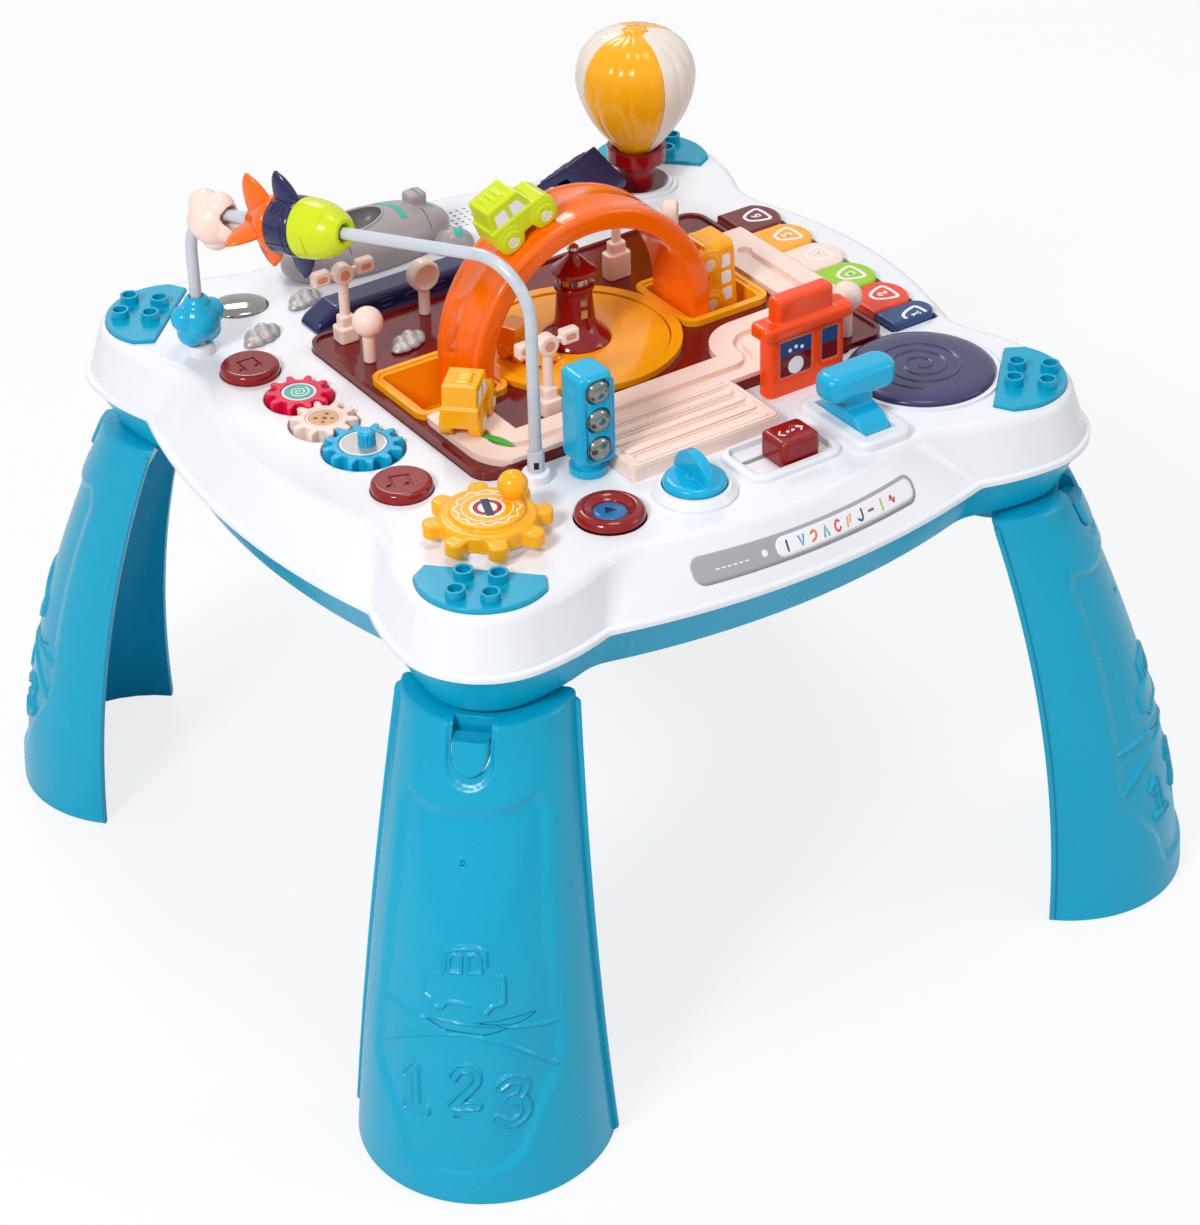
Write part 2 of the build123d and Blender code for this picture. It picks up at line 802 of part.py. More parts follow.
def leg_flange(side):
    """The thin outward lip along one open edge."""
    faces = []
    for t in leg_levels:
        half = leg_half(t)
        x = leg_back(t)
        middle = side * (half + flange_width / 2 - 1.0)
        faces.append(Pos(x + flange_depth / 2, middle, t * leg_top_z())
                     * Rectangle(flange_depth, flange_width + 2.0))
    return solid_of(loft(faces))


def latch_prism(grow):
    """Rounded tab outline, seen from outside and carried straight through the leg."""
    half = latch_width / 2 + grow
    top = leg_top_z() + 4
    middle_low = leg_top_z() - latch_height + latch_width / 2
    upright = block(top_front - 30, foot_front, -half, half, middle_low, top)
    round_end = Pos((top_front - 30 + foot_front) / 2, 0, middle_low) * Rot(0, 90, 0) * Cylinder(
        half, foot_front - top_front + 30)
    return upright + round_end


def leg(turn):
    outer = leg_solid(0)
    hollow = leg_solid(leg_wall, 8.0)
    room = block(0, 400, -90, 90, -1, leg_top_z() - leg_top_block)
    body = outer - (hollow & room)
    for side in (-1, 1):
        body += leg_flange(side)
    centre = (lobe_diagonal, 0)
    body -= disc(collar_radius + 0.4, leg_height, leg_top_z() + 5, centre)
    spigot = disc(spigot_radius, leg_height - 16, leg_height + spigot_rise, centre)
    spigot = soften(spigot, 1.2, top_edges(spigot))
    spigot -= disc(spigot_radius - spigot_wall, leg_height - 17, leg_height + spigot_rise - 2.5,
                   centre)
    body += spigot
    pocket = latch_prism(latch_gap) - leg_solid(latch_thick + latch_travel + 1.4)
    body -= pocket
    return at_lobe(turn, solid_of(body))


def latch(turn):
    tab = latch_prism(0) & leg_solid(0) & block(0, 400, -90, 90, 0, leg_top_z() - 0.2)
    tab -= leg_solid(latch_thick)
    return at_lobe(turn, solid_of(tab))


# ================================================================ corner plates
def corner_plate(turn):
    low = deck_z + plate_rise - plate_thick
    high = deck_z + plate_rise
    plate = extrude(Pos(0, 0, low) * plate_face(0), plate_thick)
    plate = soften(plate, 0.7, top_edges(plate))
    for dx in (-1, 1):
        for dy in (-1, 1):
            at = (stud_centre + dx * stud_pitch / 2, dy * stud_pitch / 2)
            plate += disc(stud_radius, high - 0.5, high + stud_height, at)
            plate -= disc(stud_bore, high + 0.6, high + stud_height + 1, at)
    return at_lobe(turn, solid_of(plate))


# ================================================================ board, road, tray
def centre_board():
    low = board_floor_z - board_thick
    plate = slab(board_west, board_east, board_south, board_north, low,
                 board_floor_z + board_rim_height, board_corner)
    inner = slab(board_west + board_rim_width, board_east - board_rim_width,
                 board_south + board_rim_width, board_north - board_rim_width,
                 board_floor_z, board_floor_z + 9, board_corner - board_rim_width)
    plate -= inner
    plate -= extrude(Pos(0, 0, low - 1) * tray_sketch(tray_clear - tray_rim_width), 9)
    for at in (c for _, c, _ in post_places()):
        if board_west < at[0] < board_east and board_south < at[1] < board_north:
            plate += disc(3.4, low - 3.0, low + 0.5, at)
    return solid_of(plate)


def road_track():
    half = road_slot / 2 + road_rail
    low = board_floor_z
    body = road_ribbon(half, low, road_top_z, end=road_strip_end - road_east_end - 4)
    body = body & block(board_west + 3, road_east_x + half, road_south, road_strip_end,
                        low - 1, road_top_z + 1)
    body -= block(board_west, -45, bin_south - tray_clear, bin_south + 60, low - 1, road_top_z + 1)
    crossing = slab(crossing_west, crossing_east, crossing_south, road_south_y,
                    road_top_z - crossing_thick, road_top_z, 2.0)
    skirt = slab(crossing_west, crossing_east, crossing_south, board_south - 1.2,
                 deck_z, road_top_z - 1, 2.0)
    skirt -= slab(crossing_west + 2, crossing_east - 2, crossing_south + 2, board_south + 9,
                  deck_z - 1, road_top_z - crossing_thick, 1.0)
    body = body + crossing + skirt
    span = (road_south_y - 4 - crossing_south) / rib_count
    for index in range(rib_count):
        y = crossing_south + span * (index + 0.5)
        rib = stadium(crossing_east - crossing_west - 10, span * 0.46, road_top_z - 0.5,
                      road_top_z + rib_height, ((crossing_east + crossing_west) / 2, y))
        body += rib
    slot = road_ribbon(road_slot / 2, low + 1.2, road_top_z + 1)
    body -= slot
    rim_top = board_floor_z + board_rim_height + seat_gap
    body -= block(board_east - board_rim_width - seat_gap, 999, -99, 99, low - 1, rim_top)
    body -= block(-150, 150, board_south - seat_gap, board_south + board_rim_width + seat_gap,
                  low - 1, rim_top)
    for at in ((road_east_x, road_east_end), (road_west_x, road_west_end)):
        body -= disc(road_slot * 0.85, low + 1.2, road_top_z + 2, at)
    return solid_of(body)


def bin_tray():
    low = tray_flange_z
    wall_low = deck_z - bin_depth - tray_wall
    flange = extrude(Pos(0, 0, low) * tray_sketch(0), tray_rim_z - low)
    flange -= extrude(Pos(0, 0, low + tray_flange_thick) * tray_sketch(-tray_rim_width), 20)
    well_floor_z = disc_top_z - disc_thick - seat_gap
    tray = flange + disc(tray_ring_radius - tray_rim_width - tray_clear, well_floor_z - tray_wall,
                         low + 1)
    inset = tray_rim_width
    for side in (-1, 1):
        tray += bin_hollow(side, inset, wall_low, low + 1)
    tray += ring(tray_ring_radius, disc_radius + disc_gap, low + 1, tray_rim_z)
    for side in (-1, 1):
        tray -= bin_hollow(side, inset + tray_wall, wall_low + tray_wall, tray_rim_z + 5)
    tray -= disc(disc_radius + disc_gap, well_floor_z, tray_rim_z + 5)
    tray += disc(pivot_radius, well_floor_z - 1, disc_top_z + 6)
    for side in (-1, 1):
        tray -= arch_foot_room(side)
    return solid_of(tray)


def arch_foot_room(side):
    """Notch that takes one foot of the arch, down to the bin's floor."""
    near, far = sorted((side * (arch_inner - foot_clear), side * (arch_outer + foot_clear)))
    half = arch_half_width + foot_clear
    return block(near, far, -half, half, bin_floor_z(), tray_rim_z + 9)


def bin_floor_z():
    return deck_z - bin_depth


def arch_profile(outer, inner, low):
    """Half ring on two straight legs, in the XZ plane."""
    legs = Pos(0, (low - arch_centre_z) / 2) * Rectangle(2 * outer, arch_centre_z - low)
    shape = Circle(outer) + legs
    shape -= Circle(inner) + Pos(0, (low - arch_centre_z) / 2) * Rectangle(
        2 * inner, arch_centre_z - low)
    above = Pos(0, (outer - (arch_centre_z - low)) / 2) * Rectangle(
        3 * outer, outer + arch_centre_z - low)
    return shape & above


def arch_bridge():
    low = bin_floor_z()
    place = Pos(0, 0, arch_centre_z) * Rot(90, 0, 0)
    body = extrude(place * arch_profile(arch_outer, arch_inner, low), arch_half_width, both=True)
    rims = [e for e in body.edges() if e.geom_type == GeomType.CIRCLE]
    body = soften(body, 1.2, rims)
    hollow = extrude(place * arch_profile(arch_outer - arch_wall, arch_inner + arch_wall, low - 2),
                     arch_half_width - arch_wall, both=True)
    body -= hollow
    groove = extrude(place * arch_profile(arch_outer + 2, arch_outer - arch_wall - 1,
                                          arch_centre_z - 10), arch_slot / 2, both=True)
    body -= groove
    for index in range(-15, 18):
        angle = radians(index * 5)
        for side in (-1, 1):
            notch = Pos(sin(angle) * arch_outer, side * (arch_half_width - 2.6),
                        arch_centre_z + cos(angle) * arch_outer)
            body -= notch * Rot(0, index * 5, 0) * Box(2.2, 1.6, 1.6)
    return solid_of(body)


def turntable():
    low = disc_top_z - disc_thick
    plate = disc(disc_radius, low, disc_top_z)
    plate = soften(plate, 0.6, top_edges(plate))
    hub = disc(pivot_radius + 3, low, disc_top_z + 8)
    body = plate + hub
    body -= disc(pivot_radius + run_clear, low - 1, disc_top_z + 6.3)
    return solid_of(body)


def lighthouse():
    """A flared foot, tapered tower, gallery and cone roof on the turntable's hub."""
    z = disc_top_z
    profile = [(pivot_radius + 3.0, 0), (19.5, 0), (19.5, 1.2), (16.0, 4.2), (12.6, 7.5),
               (12.4, 10), (10.4, 27.6), (12.2, 28.7), (12.2, 30.8), (10.0, 31.7), (10.0, 36.9),
               (13.6, 38.2), (13.6, 39.8), (2.6, 48.2), (2.6, 50.4), (0, 51.6),
               (0, 8.0), (pivot_radius + 3.0, 8.0)]
    body = turned(profile, base=z)
    for height in (13.6, 21.6):
        for face in range(2):
            window = Rot(0, 0, -50 + 180 * face) * Pos(12, 0, z + height) * Box(4, 3.2, 4.4)
            body -= window
    return solid_of(body)


def turntable_car():
    """A stepped little train engine fixed on the turntable."""
    z = disc_top_z
    body = block(-14, 14, -6.5, 6.5, 2.2, 9.0)
    body += block(-13, -2, -6, 6, 9.0, 15.5)
    body += block(-14, -1, -7, 7, 15.0, 17.4)
    body += disc(4.0, 9.0, 12.4, (6, 0)) + disc(2.2, 12.0, 16.4, (6, 0))
    body += block(13.0, 16.0, -5, 5, 2.2, 5.0)
    for x in (-9, 0, 9):
        for side in (-1, 1):
            axle = Pos(x, side * 6.6, 3.6) * Rot(90, 0, 0) * Cylinder(3.6, 2.4)
            body += axle
    place = Pos(-31.0, -3.0, z) * Rot(0, 0, -70)
    return solid_of(place * body)


# ================================================================ cars
def car_profile(kind):
    """Side outline of a car: length along X, height along Z, nose to +X."""
    half = car_length / 2
    if kind == "bus":
        half = bus_length / 2
        return [(-half, 4), (-half, bus_height), (half - 2, bus_height), (half, bus_height - 4),
                (half, 4)]
    low = 4.0
    belt = car_height * 0.58
    return [(-half, low), (-half, belt - 1), (-half + 3, belt + 1), (-half + 5, car_height),
            (half - 14, car_height), (half - 9, belt + 1), (half - 2, belt), (half, low + 2),
            (half, low)]


def car_body(kind):
    width = bus_width if kind == "bus" else car_width
    path = Polyline(*[(x, 0, z) for x, z in car_profile(kind)], close=True)
    body = extrude(make_face(path), width / 2, both=True)
    body = soften(body, 1.6)
    half = (bus_length if kind == "bus" else car_length) / 2
    spread = half * 0.58
    for x in (-spread, spread):
        for side in (-1, 1):
            y = side * (width / 2 - wheel_width / 2 + 1.0)
            wheel = Pos(x, y, wheel_radius) * Rot(90, 0, 0) * Cylinder(wheel_radius, wheel_width)
            body += soften(wheel, 0.5, wheel.edges())
    roof = bus_height if kind == "bus" else car_height
    if kind == "bus":
        body += slab(-half + 6, half - 8, -4, 4, roof - 1, roof + 1.4, 1.5)
    else:
        body += slab(-half + 8, -half + 15, -4, 4, roof - 1, roof + 1.4, 1.5)
        body += block(-half + 9, -half + 10, -5.2, 5.2, roof - 1, roof + 0.8)
    return body


def arch_car(kind, angle):
    """A car that straddles the arch, held by a curved tongue in its slot."""
    body = car_body(kind)
    spread = (bus_length if kind == "bus" else car_length) / 2 * 0.58
    rail = arch_outer + wheel_gap
    lift = sqrt((rail + wheel_radius) ** 2 - spread ** 2) - wheel_radius
    body = Pos(0, 0, lift) * body
    tongue = Rot(90, 0, 0) * (Circle(rail + 6.5) - Circle(arch_outer - tongue_depth))
    tongue = extrude(tongue, tongue_thick / 2, both=True)
    tongue = tongue & Pos(0, 0, rail) * Box(14, 10, 30)
    body += tongue
    relief = extrude(Rot(90, 0, 0) * Circle(arch_outer + wheel_gap * 0.9), 30, both=True)
    keep = extrude(Rot(90, 0, 0) * Circle(arch_outer + wheel_gap * 0.9), tongue_thick / 2,
                   both=True)
    body -= relief - keep
    place = Pos(0, 0, arch_centre_z) * Rot(0, angle, 0)
    return solid_of(place * body)


def yellow_car():
    body = Pos(0, 0, wheel_gap) * car_body("car")
    body -= disc(guide_pin_radius + run_clear, -1, 13)
    place = Pos(road_west_x, yellow_car_y, road_top_z) * Rot(0, 0, yellow_car_turn)
    return solid_of(place * body)


def car_guide_pin():
    """A stepped pin: its foot runs in the road's slot, its shank turns in the car."""
    at = (road_west_x, yellow_car_y)
    foot = disc(road_slot / 2 - slide_clear, board_floor_z + 1.2 + seat_gap, road_top_z + 0.1, at)
    shank = disc(guide_pin_radius, road_top_z, road_top_z + 12.5, at)
    return foot + shank


# ================================================================ bead wire
def wire_frame():
    """Unit direction in plan, plan length and the two corner points of the wire."""
    dx, dy = wire_end[0] - wire_start[0], wire_end[1] - wire_start[1]
    size = hypot(dx, dy)
    return dx / size, dy / size, size


def wire_point(along, height):
    ux, uy, _ = wire_frame()
    return (wire_start[0] + ux * along, wire_start[1] + uy * along, height)


def run_height(along):
    """Height of the sloping run's centre line."""
    size = wire_frame()[2]
    return wire_top_start + (wire_top_end - wire_top_start) * along / size


def run_slope():
    return atan2(wire_top_end - wire_top_start, wire_frame()[2])


def far_bend():
    """Centre of the far bend in (along, height), and its first and last angle."""
    size = wire_frame()[2]
    slope = run_slope()
    corner = pi / 2 + slope              # how far the wire turns there
    set_back = wire_bend * tan(corner / 2)
    return (size - wire_bend, wire_top_end - set_back), corner


def wire_loop():
    size = wire_frame()[2]
    foot = deck_under_z - 3.0
    points = [wire_point(0, foot), wire_point(0, wire_top_start), wire_point(size, wire_top_end),
              wire_point(size, foot)]
    path = FilletPolyline(*points, radius=wire_bend)
    start = Plane(origin=points[0], z_dir=(0, 0, 1))
    return solid_of(sweep(start * Circle(wire_radius), path=path))


def wire_plane(along, height, tilt):
    """A plane whose Z runs along the wire, its X in the wire's upright plane."""
    ux, uy, _ = wire_frame()
    direction = (ux * cos(tilt), uy * cos(tilt), sin(tilt))
    across = (uy, -ux, 0)
    return Plane(origin=wire_point(along, height), x_dir=across, z_dir=direction)


def on_run(distance):
    """Plane at a plan distance along the sloping run, Z pointing to the far upright."""
    return wire_plane(distance, run_height(distance), run_slope())


def revolved_along(points):
    path = Polyline(*[(r, 0, z) for r, z in points], close=True)
    return revolve(make_face(path), Axis.Z)


def fins(inner, outer, low, high, lean, thick, turn=0.0):
    """Four fins round the Z axis, each a rounded lobe that leans towards +Z."""
    crown = low + (high - low) * lean
    rise = outer - inner
    edge = Spline((inner, 0, low), (inner + rise * 0.72, 0, crown - (crown - low) * 0.42),
                  (outer, 0, crown), (inner + rise * 0.72, 0, crown + (high - crown) * 0.72),
                  (inner, 0, high))
    root = Polyline((inner, 0, high), (inner - 2, 0, high), (inner - 2, 0, low), (inner, 0, low))
    blade = extrude(make_face([edge, root]), thick / 2, both=True)
    result = None
    for index in range(4):
        piece = Rot(0, 0, turn + 90 * index) * blade
        result = piece if result is None else result + piece
    return result


def rocket_nose():
    length = nose_length
    r = rocket_radius
    side = Spline((bead_hole + 3.2, 0, 0), (r * 0.80, 0, length * 0.30), (r * 0.97, 0, length * 0.66),
                  (r, 0, length), tangents=[(1.2, 0, 1), (0, 0, 1)])
    mouth = Polyline((r, 0, length), (bead_hole, 0, length), (bead_hole, 0, 6),
                     (bead_hole + 1.8, 0, 0), (bead_hole + 3.2, 0, 0))
    body = revolve(make_face([side, mouth]), Axis.Z)
    shape = on_run(rocket_nose_at) * body
    return solid_of(shape)


def rocket_body():
    r = rocket_radius
    body = revolved_along([(bead_hole, 0), (r, 0), (r, body_length), (bead_hole, body_length)])
    body = soften(body, 0.8, [e for e in body.edges() if abs(e.length - 2 * pi * r) < 1])
    body += fins(r, body_fin_radius, 0.6, body_length - 0.4, 0.66, fin_thick, 12)
    body -= revolved_along([(0, -1), (bead_hole, -1), (bead_hole, body_length + 1),
                            (0, body_length + 1)])
    start = rocket_nose_at + nose_length + piece_gap
    return solid_of(on_run(start) * body)


def rocket_tail():
    r = rocket_radius - 0.6
    length = tail_length
    body = revolved_along([(bead_hole, 0), (r, 0), (r, 3), (r * 0.9, 7), (r * 0.62, length * 0.62),
                           (r * 0.5, length), (bead_hole, length)])
    body += fins(r * 0.66, tail_fin_radius, 2.4, length, 0.74, fin_thick, 52)
    body -= revolved_along([(0, -1), (bead_hole, -1), (bead_hole, length + 1), (0, length + 1)])
    start = rocket_nose_at + nose_length + body_length + 2 * piece_gap
    return solid_of(on_run(start) * body)


def lumps(radius, lobes, reach, flat=1.0):
    """A star of overlapping balls round the Z axis."""
    body = Sphere(radius)
    for index in range(lobes):
        angle = 2 * pi * index / lobes
        body += Pos(cos(angle) * reach, sin(angle) * reach, 0) * Sphere(radius * 0.62 * flat)
    return body


def cloud_bead():
    (along, height), corner = far_bend()
    angle = corner * cloud_place
    reach = wire_bend - 2.5
    centre = (along + reach * cos(angle), height + reach * sin(angle))
    plane = wire_plane(centre[0], centre[1], angle - pi / 2)
    body = Rot(0, 90, 0) * Rot(0, 0, 36) * lumps(12.6, 5, 8.4)
    shape = plane * body
    ux, uy, _ = wire_frame()
    core = Plane(origin=wire_point(along, height), x_dir=(ux, uy, 0), z_dir=(uy, -ux, 0))
    snug = core * Torus(wire_bend, bead_hole + 0.1)
    mouths = core * Torus(wire_bend, bead_hole + 1.8) - plane * Box(60, 60, 8)
    return solid_of(shape - snug - mouths)


def blue_bead():
    size = wire_frame()[2]
    z = deck_z + wire_collar_height + 13.6
    body = Rot(90, 0, 18) * lumps(11.4, 5, 7.6)
    body -= Cylinder(bead_hole, 60)
    return solid_of(Pos(*wire_point(size, z)) * body)


# ================================================================ push buttons and keys
def push_button(at, radius, turn):
    """A domed cap with three snap tabs that hold it under the deck."""
    low = deck_under_z - seat_gap - 3.0
    cap = disc(radius, low, deck_z + button_rise, at)
    body = soften(cap, 2.6, top_edges(cap))
    for index in range(3):
        tab = block(radius - 2.0, radius + cap_flange, -4.0, 4.0, low, deck_under_z - seat_gap)
        body += Pos(at[0], at[1], 0) * Rot(0, 0, turn + 120 * index) * tab
    body -= disc(radius - 2.2, low - 1, deck_z + button_rise - 2.6, at)
    body += disc(3.0, low - 3.0, deck_z + button_rise - 1, at)
    return body


def note_button(at, turn, tab_turn):
    body = push_button(at, button_radius, tab_turn)
    top = deck_z + button_rise
    mark = block(-5.5, 4.5, 3.2, 4.6, top - 0.7, top + 1)
    for x in (-4.8, 3.8):
        mark += block(x - 0.6, x + 0.6, -4.5, 4.6, top - 0.7, top + 1)
        mark += disc(1.9, top - 0.7, top + 1, (x - 1.2, -4.5))
    body -= Pos(at[0], at[1], 0) * Rot(0, 0, turn) * mark
    return solid_of(body)


def start_button():
    body = push_button(start_at, start_radius, 90)
    top = deck_z + button_rise
    dish = turned([(0, -2.0), (7.4, -2.0), (10.0, 0.6), (10.0, 3), (0, 3)], start_at, base=top)
    return solid_of(body - dish)


def key(south, north):
    """A key with a bowed outer end, hollow below, with a tongue under the deck's edge."""
    top = deck_z + key_rise
    low = deck_under_z - seat_gap - 2.6
    shoulder = key_east - (north - south) * 0.3
    bow = ThreePointArc((shoulder, south), (key_east, (south + north) / 2), (shoulder, north))
    sides = Polyline((shoulder, north), (key_west, north), (key_west, south), (shoulder, south))
    cap = extrude(Pos(0, 0, low) * make_face([bow, sides]), top - low)
    cap = soften(cap, 1.4, top_edges(cap))
    cap -= block(key_west + 2, shoulder - 2, south + 2, north - 2, low - 1, top - 2.4)
    tongue = block(key_west - 1.6, key_west + 1, south + 1, north - 1, low,
                   deck_under_z - seat_gap)
    return solid_of(cap + tongue)


# ================================================================ gears
def gear_outline(teeth):
    """Round-topped teeth with wide gaps, as a closed ring of arcs and lines."""
    pitch = teeth * tooth_size / 2
    tip = pitch + tooth_size * 0.66
    root = pitch - tooth_size * 0.92
    step = 2 * pi / teeth
    edges = []
    spots = []
    for index in range(teeth):
        centre = index * step
        spots.append([(root, centre - step * 0.30), (pitch, centre - step * 0.205),
                      (tip, centre - step * 0.10), (tip, centre + step * 0.10),
                      (pitch, centre + step * 0.205), (root, centre + step * 0.30)])
    at = [[(r * cos(a), r * sin(a)) for r, a in tooth] for tooth in spots]
    for index in range(teeth):
        t = at[index]
        following = at[(index + 1) % teeth]
        edges += [Line(t[0], t[1]), Line(t[1], t[2]), Line(t[2], t[3]), Line(t[3], t[4]),
                  Line(t[4], t[5])]
        angle = (index + 0.5) * step
        edges.append(ThreePointArc(t[5], (root * cos(angle), root * sin(angle)), following[0]))
    return make_face(edges)


def gear_start(name):
    """Turn each gear so that its teeth enter its neighbour's gaps at rest."""
    cream = gear_at["gear_cream"]
    step = 360 / gear_teeth["gear_cream"]
    if name == "gear_cream":
        return 0.0
    other = gear_at[name]
    line = degrees(atan2(other[1] - cream[1], other[0] - cream[0]))
    phase = (line / step) % 1.0
    own = 360 / gear_teeth[name]
    return line + 180 + own * (phase + 0.5)


def toy_gear(name):
    low = gear_floor_z + seat_gap
    high = deck_z + gear_rise
    body = extrude(Pos(0, 0, low) * gear_outline(gear_teeth[name]), high - low)
    body = soften(body, 0.7, top_edges(body))
    face_radius = gear_teeth[name] * tooth_size / 2 - tooth_size * 1.9
    body -= disc(face_radius, high - 0.6, high + 1)
    body -= disc(gear_post_radius + run_clear, low - 1, high - 1.2)
    if name == "gear_blue":
        post = disc(4.3, high - 1.0, high + 7.5)
        post = soften(post, 2.2, top_edges(post))
        for index in range(12):
            angle = 2 * pi * index / 12
            post -= disc(0.5, high + 0.2, high + 6, (4.4 * cos(angle), 4.4 * sin(angle)))
        post = Pos(-2.0, 0, 0) * post
        body += post
    return solid_of(Pos(*gear_at[name], 0) * Rot(0, 0, gear_start(name)) * body)


# ================================================================ wheel, dial, slider, lever
def crank_wheel():
    low = deck_z + crank_seat_height + seat_gap
    high = low + 8.4
    body = disc(crank_radius, low, high)
    body = soften(body, 1.6, top_edges(body))
    for index in range(crank_lobes):
        angle = 360 / crank_lobes * (index + 0.5)
        lobe = slab(crank_radius - 5, crank_lobe_reach, -4.8, 4.8, low, high - 1.6, 4.0)
        lobe = soften(lobe, 1.0, top_edges(lobe))
        body += Rot(0, 0, angle) * lobe
    body += disc(crank_radius * 0.76, high - 1, high + 2.2)
    body -= disc(crank_hub_radius + run_clear, low - 1, low + 6.0)
    knob_at = (14.9, 1.4)
    body += disc(3.4, high, high + 6, knob_at)
    body += Pos(knob_at[0], knob_at[1], high + 8.4) * Sphere(crank_knob_radius)
    return solid_of(Pos(*crank_at, 0) * body)


def dial_knob():
    low = deck_z + seat_gap
    body = disc(dial_radius, low, deck_z + 8.5)
    body = soften(body, 2.0, top_edges(body))
    vane = Pos(0, 0, deck_z + 7.2) * Rot(90, 0, 0) * Cylinder(13.8, 5.6)
    vane &= block(-20, 20, -20, 20, deck_z + 6, deck_z + 40)
    vane = soften(vane, 1.6, [e for e in vane.edges() if e.geom_type == GeomType.CIRCLE])
    stem_radius = dial_radius * 0.34
    foot = deck_under_z - seat_gap
    body += Rot(0, 0, 62) * vane
    body += disc(stem_radius, foot - 3.0, low + 1)
    body += disc(stem_radius + 1.6, foot - 3.0, foot)
    return solid_of(Pos(*dial_at, 0) * body)


def slider_block():
    sx, sy, sz = slider_size
    low = deck_z + seat_gap
    body = slab(-sx / 2, sx / 2, -sy / 2, sy / 2, low, low + sz, 3.4)
    body = soften(body, 2.4, top_edges(body))
    top = low + sz
    mark = block(-1.6, 1.6, -0.8, 0.8, top - 0.6, top + 1)
    for side in (-1, 1):
        chevron = Rot(0, 0, 45) * (block(-2.6, 2.6, 1.8, 3.0, top - 0.6, top + 1)
                                   + block(1.4, 2.6, -2.6, 3.0, top - 0.6, top + 1))
        mark += Rot(0, 0, 90 * (1 - side)) * Pos(3.2, 0, 0) * chevron
    body -= mark
    foot = deck_under_z - seat_gap
    back = slider_slot_back
    half_tab = slider_slot / 2 - slide_clear
    body += slab(-4, 4, back - half_tab, back + half_tab, foot - 2, low + 1, 0.4)
    body += slab(-6, 6, back - 4, back + 4, foot - 2.0, foot, 1.0)
    return solid_of(Pos(slider_at[0] + slider_rest, slider_at[1], 0) * body)


def throttle_lever():
    axis_z = deck_z - lever_drop
    half = lever_width / 2
    drum = Rot(0, 90, 0) * Cylinder(lever_drum, lever_width)
    drum -= Rot(0, 90, 0) * Cylinder(lever_drum - 3.0, lever_width - 5.0)
    drum &= block(-half, half, -lever_drum, lever_drum, -7.0, lever_drum + 1)
    drum += Rot(0, 90, 0) * Cylinder(6.0, lever_width)
    drum += block(-half, half, -3, 3, 0, lever_drum - 1)
    stem = block(-half + 1.2, half - 1.2, -4.4, 4.4, lever_drum - 3, lever_drum + 9)
    bar = Pos(0, 0, lever_drum + 13) * slab(-lever_bar / 2, lever_bar / 2, -9, 9, -7, 7, 8.0)
    bar = soften(bar, 4.5, list(top_edges(bar)) + list(bar.edges().group_by(Axis.Z)[0]))
    stubs = Rot(0, 90, 0) * Cylinder(stub_radius, lever_width + 7.0)
    body = drum + stem + bar + stubs
    return solid_of(Pos(lever_at[0], lever_at[1], axis_z) * body)


def record_disc():
    low, high = deck_z + seat_gap, deck_z + 4.0
    body = disc(record_radius, low, high)
    body = soften(body, 1.0, top_edges(body))
    body -= disc(pivot_radius + run_clear, low - 1, deck_z + 2.6)
    for index in range(4):
        radius = 7.0 + 6.6 * index
        body += ring(radius + 0.7, radius - 0.7, high - 0.5, high + 0.7)
    return solid_of(Pos(*record_at, 0) * body)


def traffic_light():
    stem = traffic_stem_radius()
    foot = deck_under_z - seat_gap
    z = deck_z
    body = disc(9.2, z + seat_gap, z + 4.0) + disc(7.0, z + 3, z + 8)
    case = slab(-traffic_width / 2, traffic_width / 2, -traffic_depth / 2, traffic_depth / 2,
                z + 8, z + 8 + traffic_height, 5.0)
    case = soften(case, 3.0, list(top_edges(case)) + list(case.edges().group_by(Axis.Z)[0]))
    body += case
    body += disc(stem, foot - 3, z + 1) + disc(stem + 1.6, foot - 3, foot)
    for index in range(3):
        spot = Pos(0, -traffic_depth / 2, lens_height(index)) * Rot(90, 0, 0)
        body -= spot * Cylinder(lens_radius + 0.4, 5.0)
    return solid_of(Pos(*traffic_at, 0) * body)


def lens_height(index):
    return deck_z + 8 + traffic_height / 2 + (index - 1) * lens_pitch


def traffic_lenses():
    lenses = []
    for index in range(3):
        place = Pos(traffic_at[0], traffic_at[1] - traffic_depth / 2 + 2.5, lens_height(index))
        dome = Rot(90, 0, 0) * Cylinder(lens_radius, 2.6, align=(Align.CENTER, Align.CENTER,
                                                                 Align.MIN))
        ball_radius = lens_radius * 1.25
        offset_y = sqrt(ball_radius ** 2 - lens_radius ** 2)
        ball = Pos(0, -2.4 + offset_y, 0) * Sphere(ball_radius)
        cap = ball & block(-20, 20, -30, -2.4, -20, 20)
        lenses.append(solid_of(place * (dome + cap)))
    return grouped(lenses)


# ================================================================ fixed toys
def station():
    z = deck_z
    w, d = station_width / 2, station_depth / 2
    walls = slab(-w, w, -d, d, z, z + 33.5, 3.0)
    eave = slab(-w - 4, w + 4, -d - 2.5, d + 2.5, z + 33, z + 39.5, 4.0)
    cap = slab(-w + 5, w - 7, -d, d, z + 39, z + 52, 3.0)
    body = walls + soften(eave, 2.4, top_edges(eave)) + soften(cap, 2.0, top_edges(cap))
    body -= block(-w + thin_wall, w - thin_wall, -d + thin_wall, d - thin_wall, z - 1, z + 31)
    body -= block(-w + 6, w - 20, -d - 1, -d + 0.6, z + 9, z + 30)
    body -= block(w - 15, w - 4, -d - 1, -d + 0.6, z + 11, z + 30)
    return solid_of(Pos(*station_at, 0) * body)


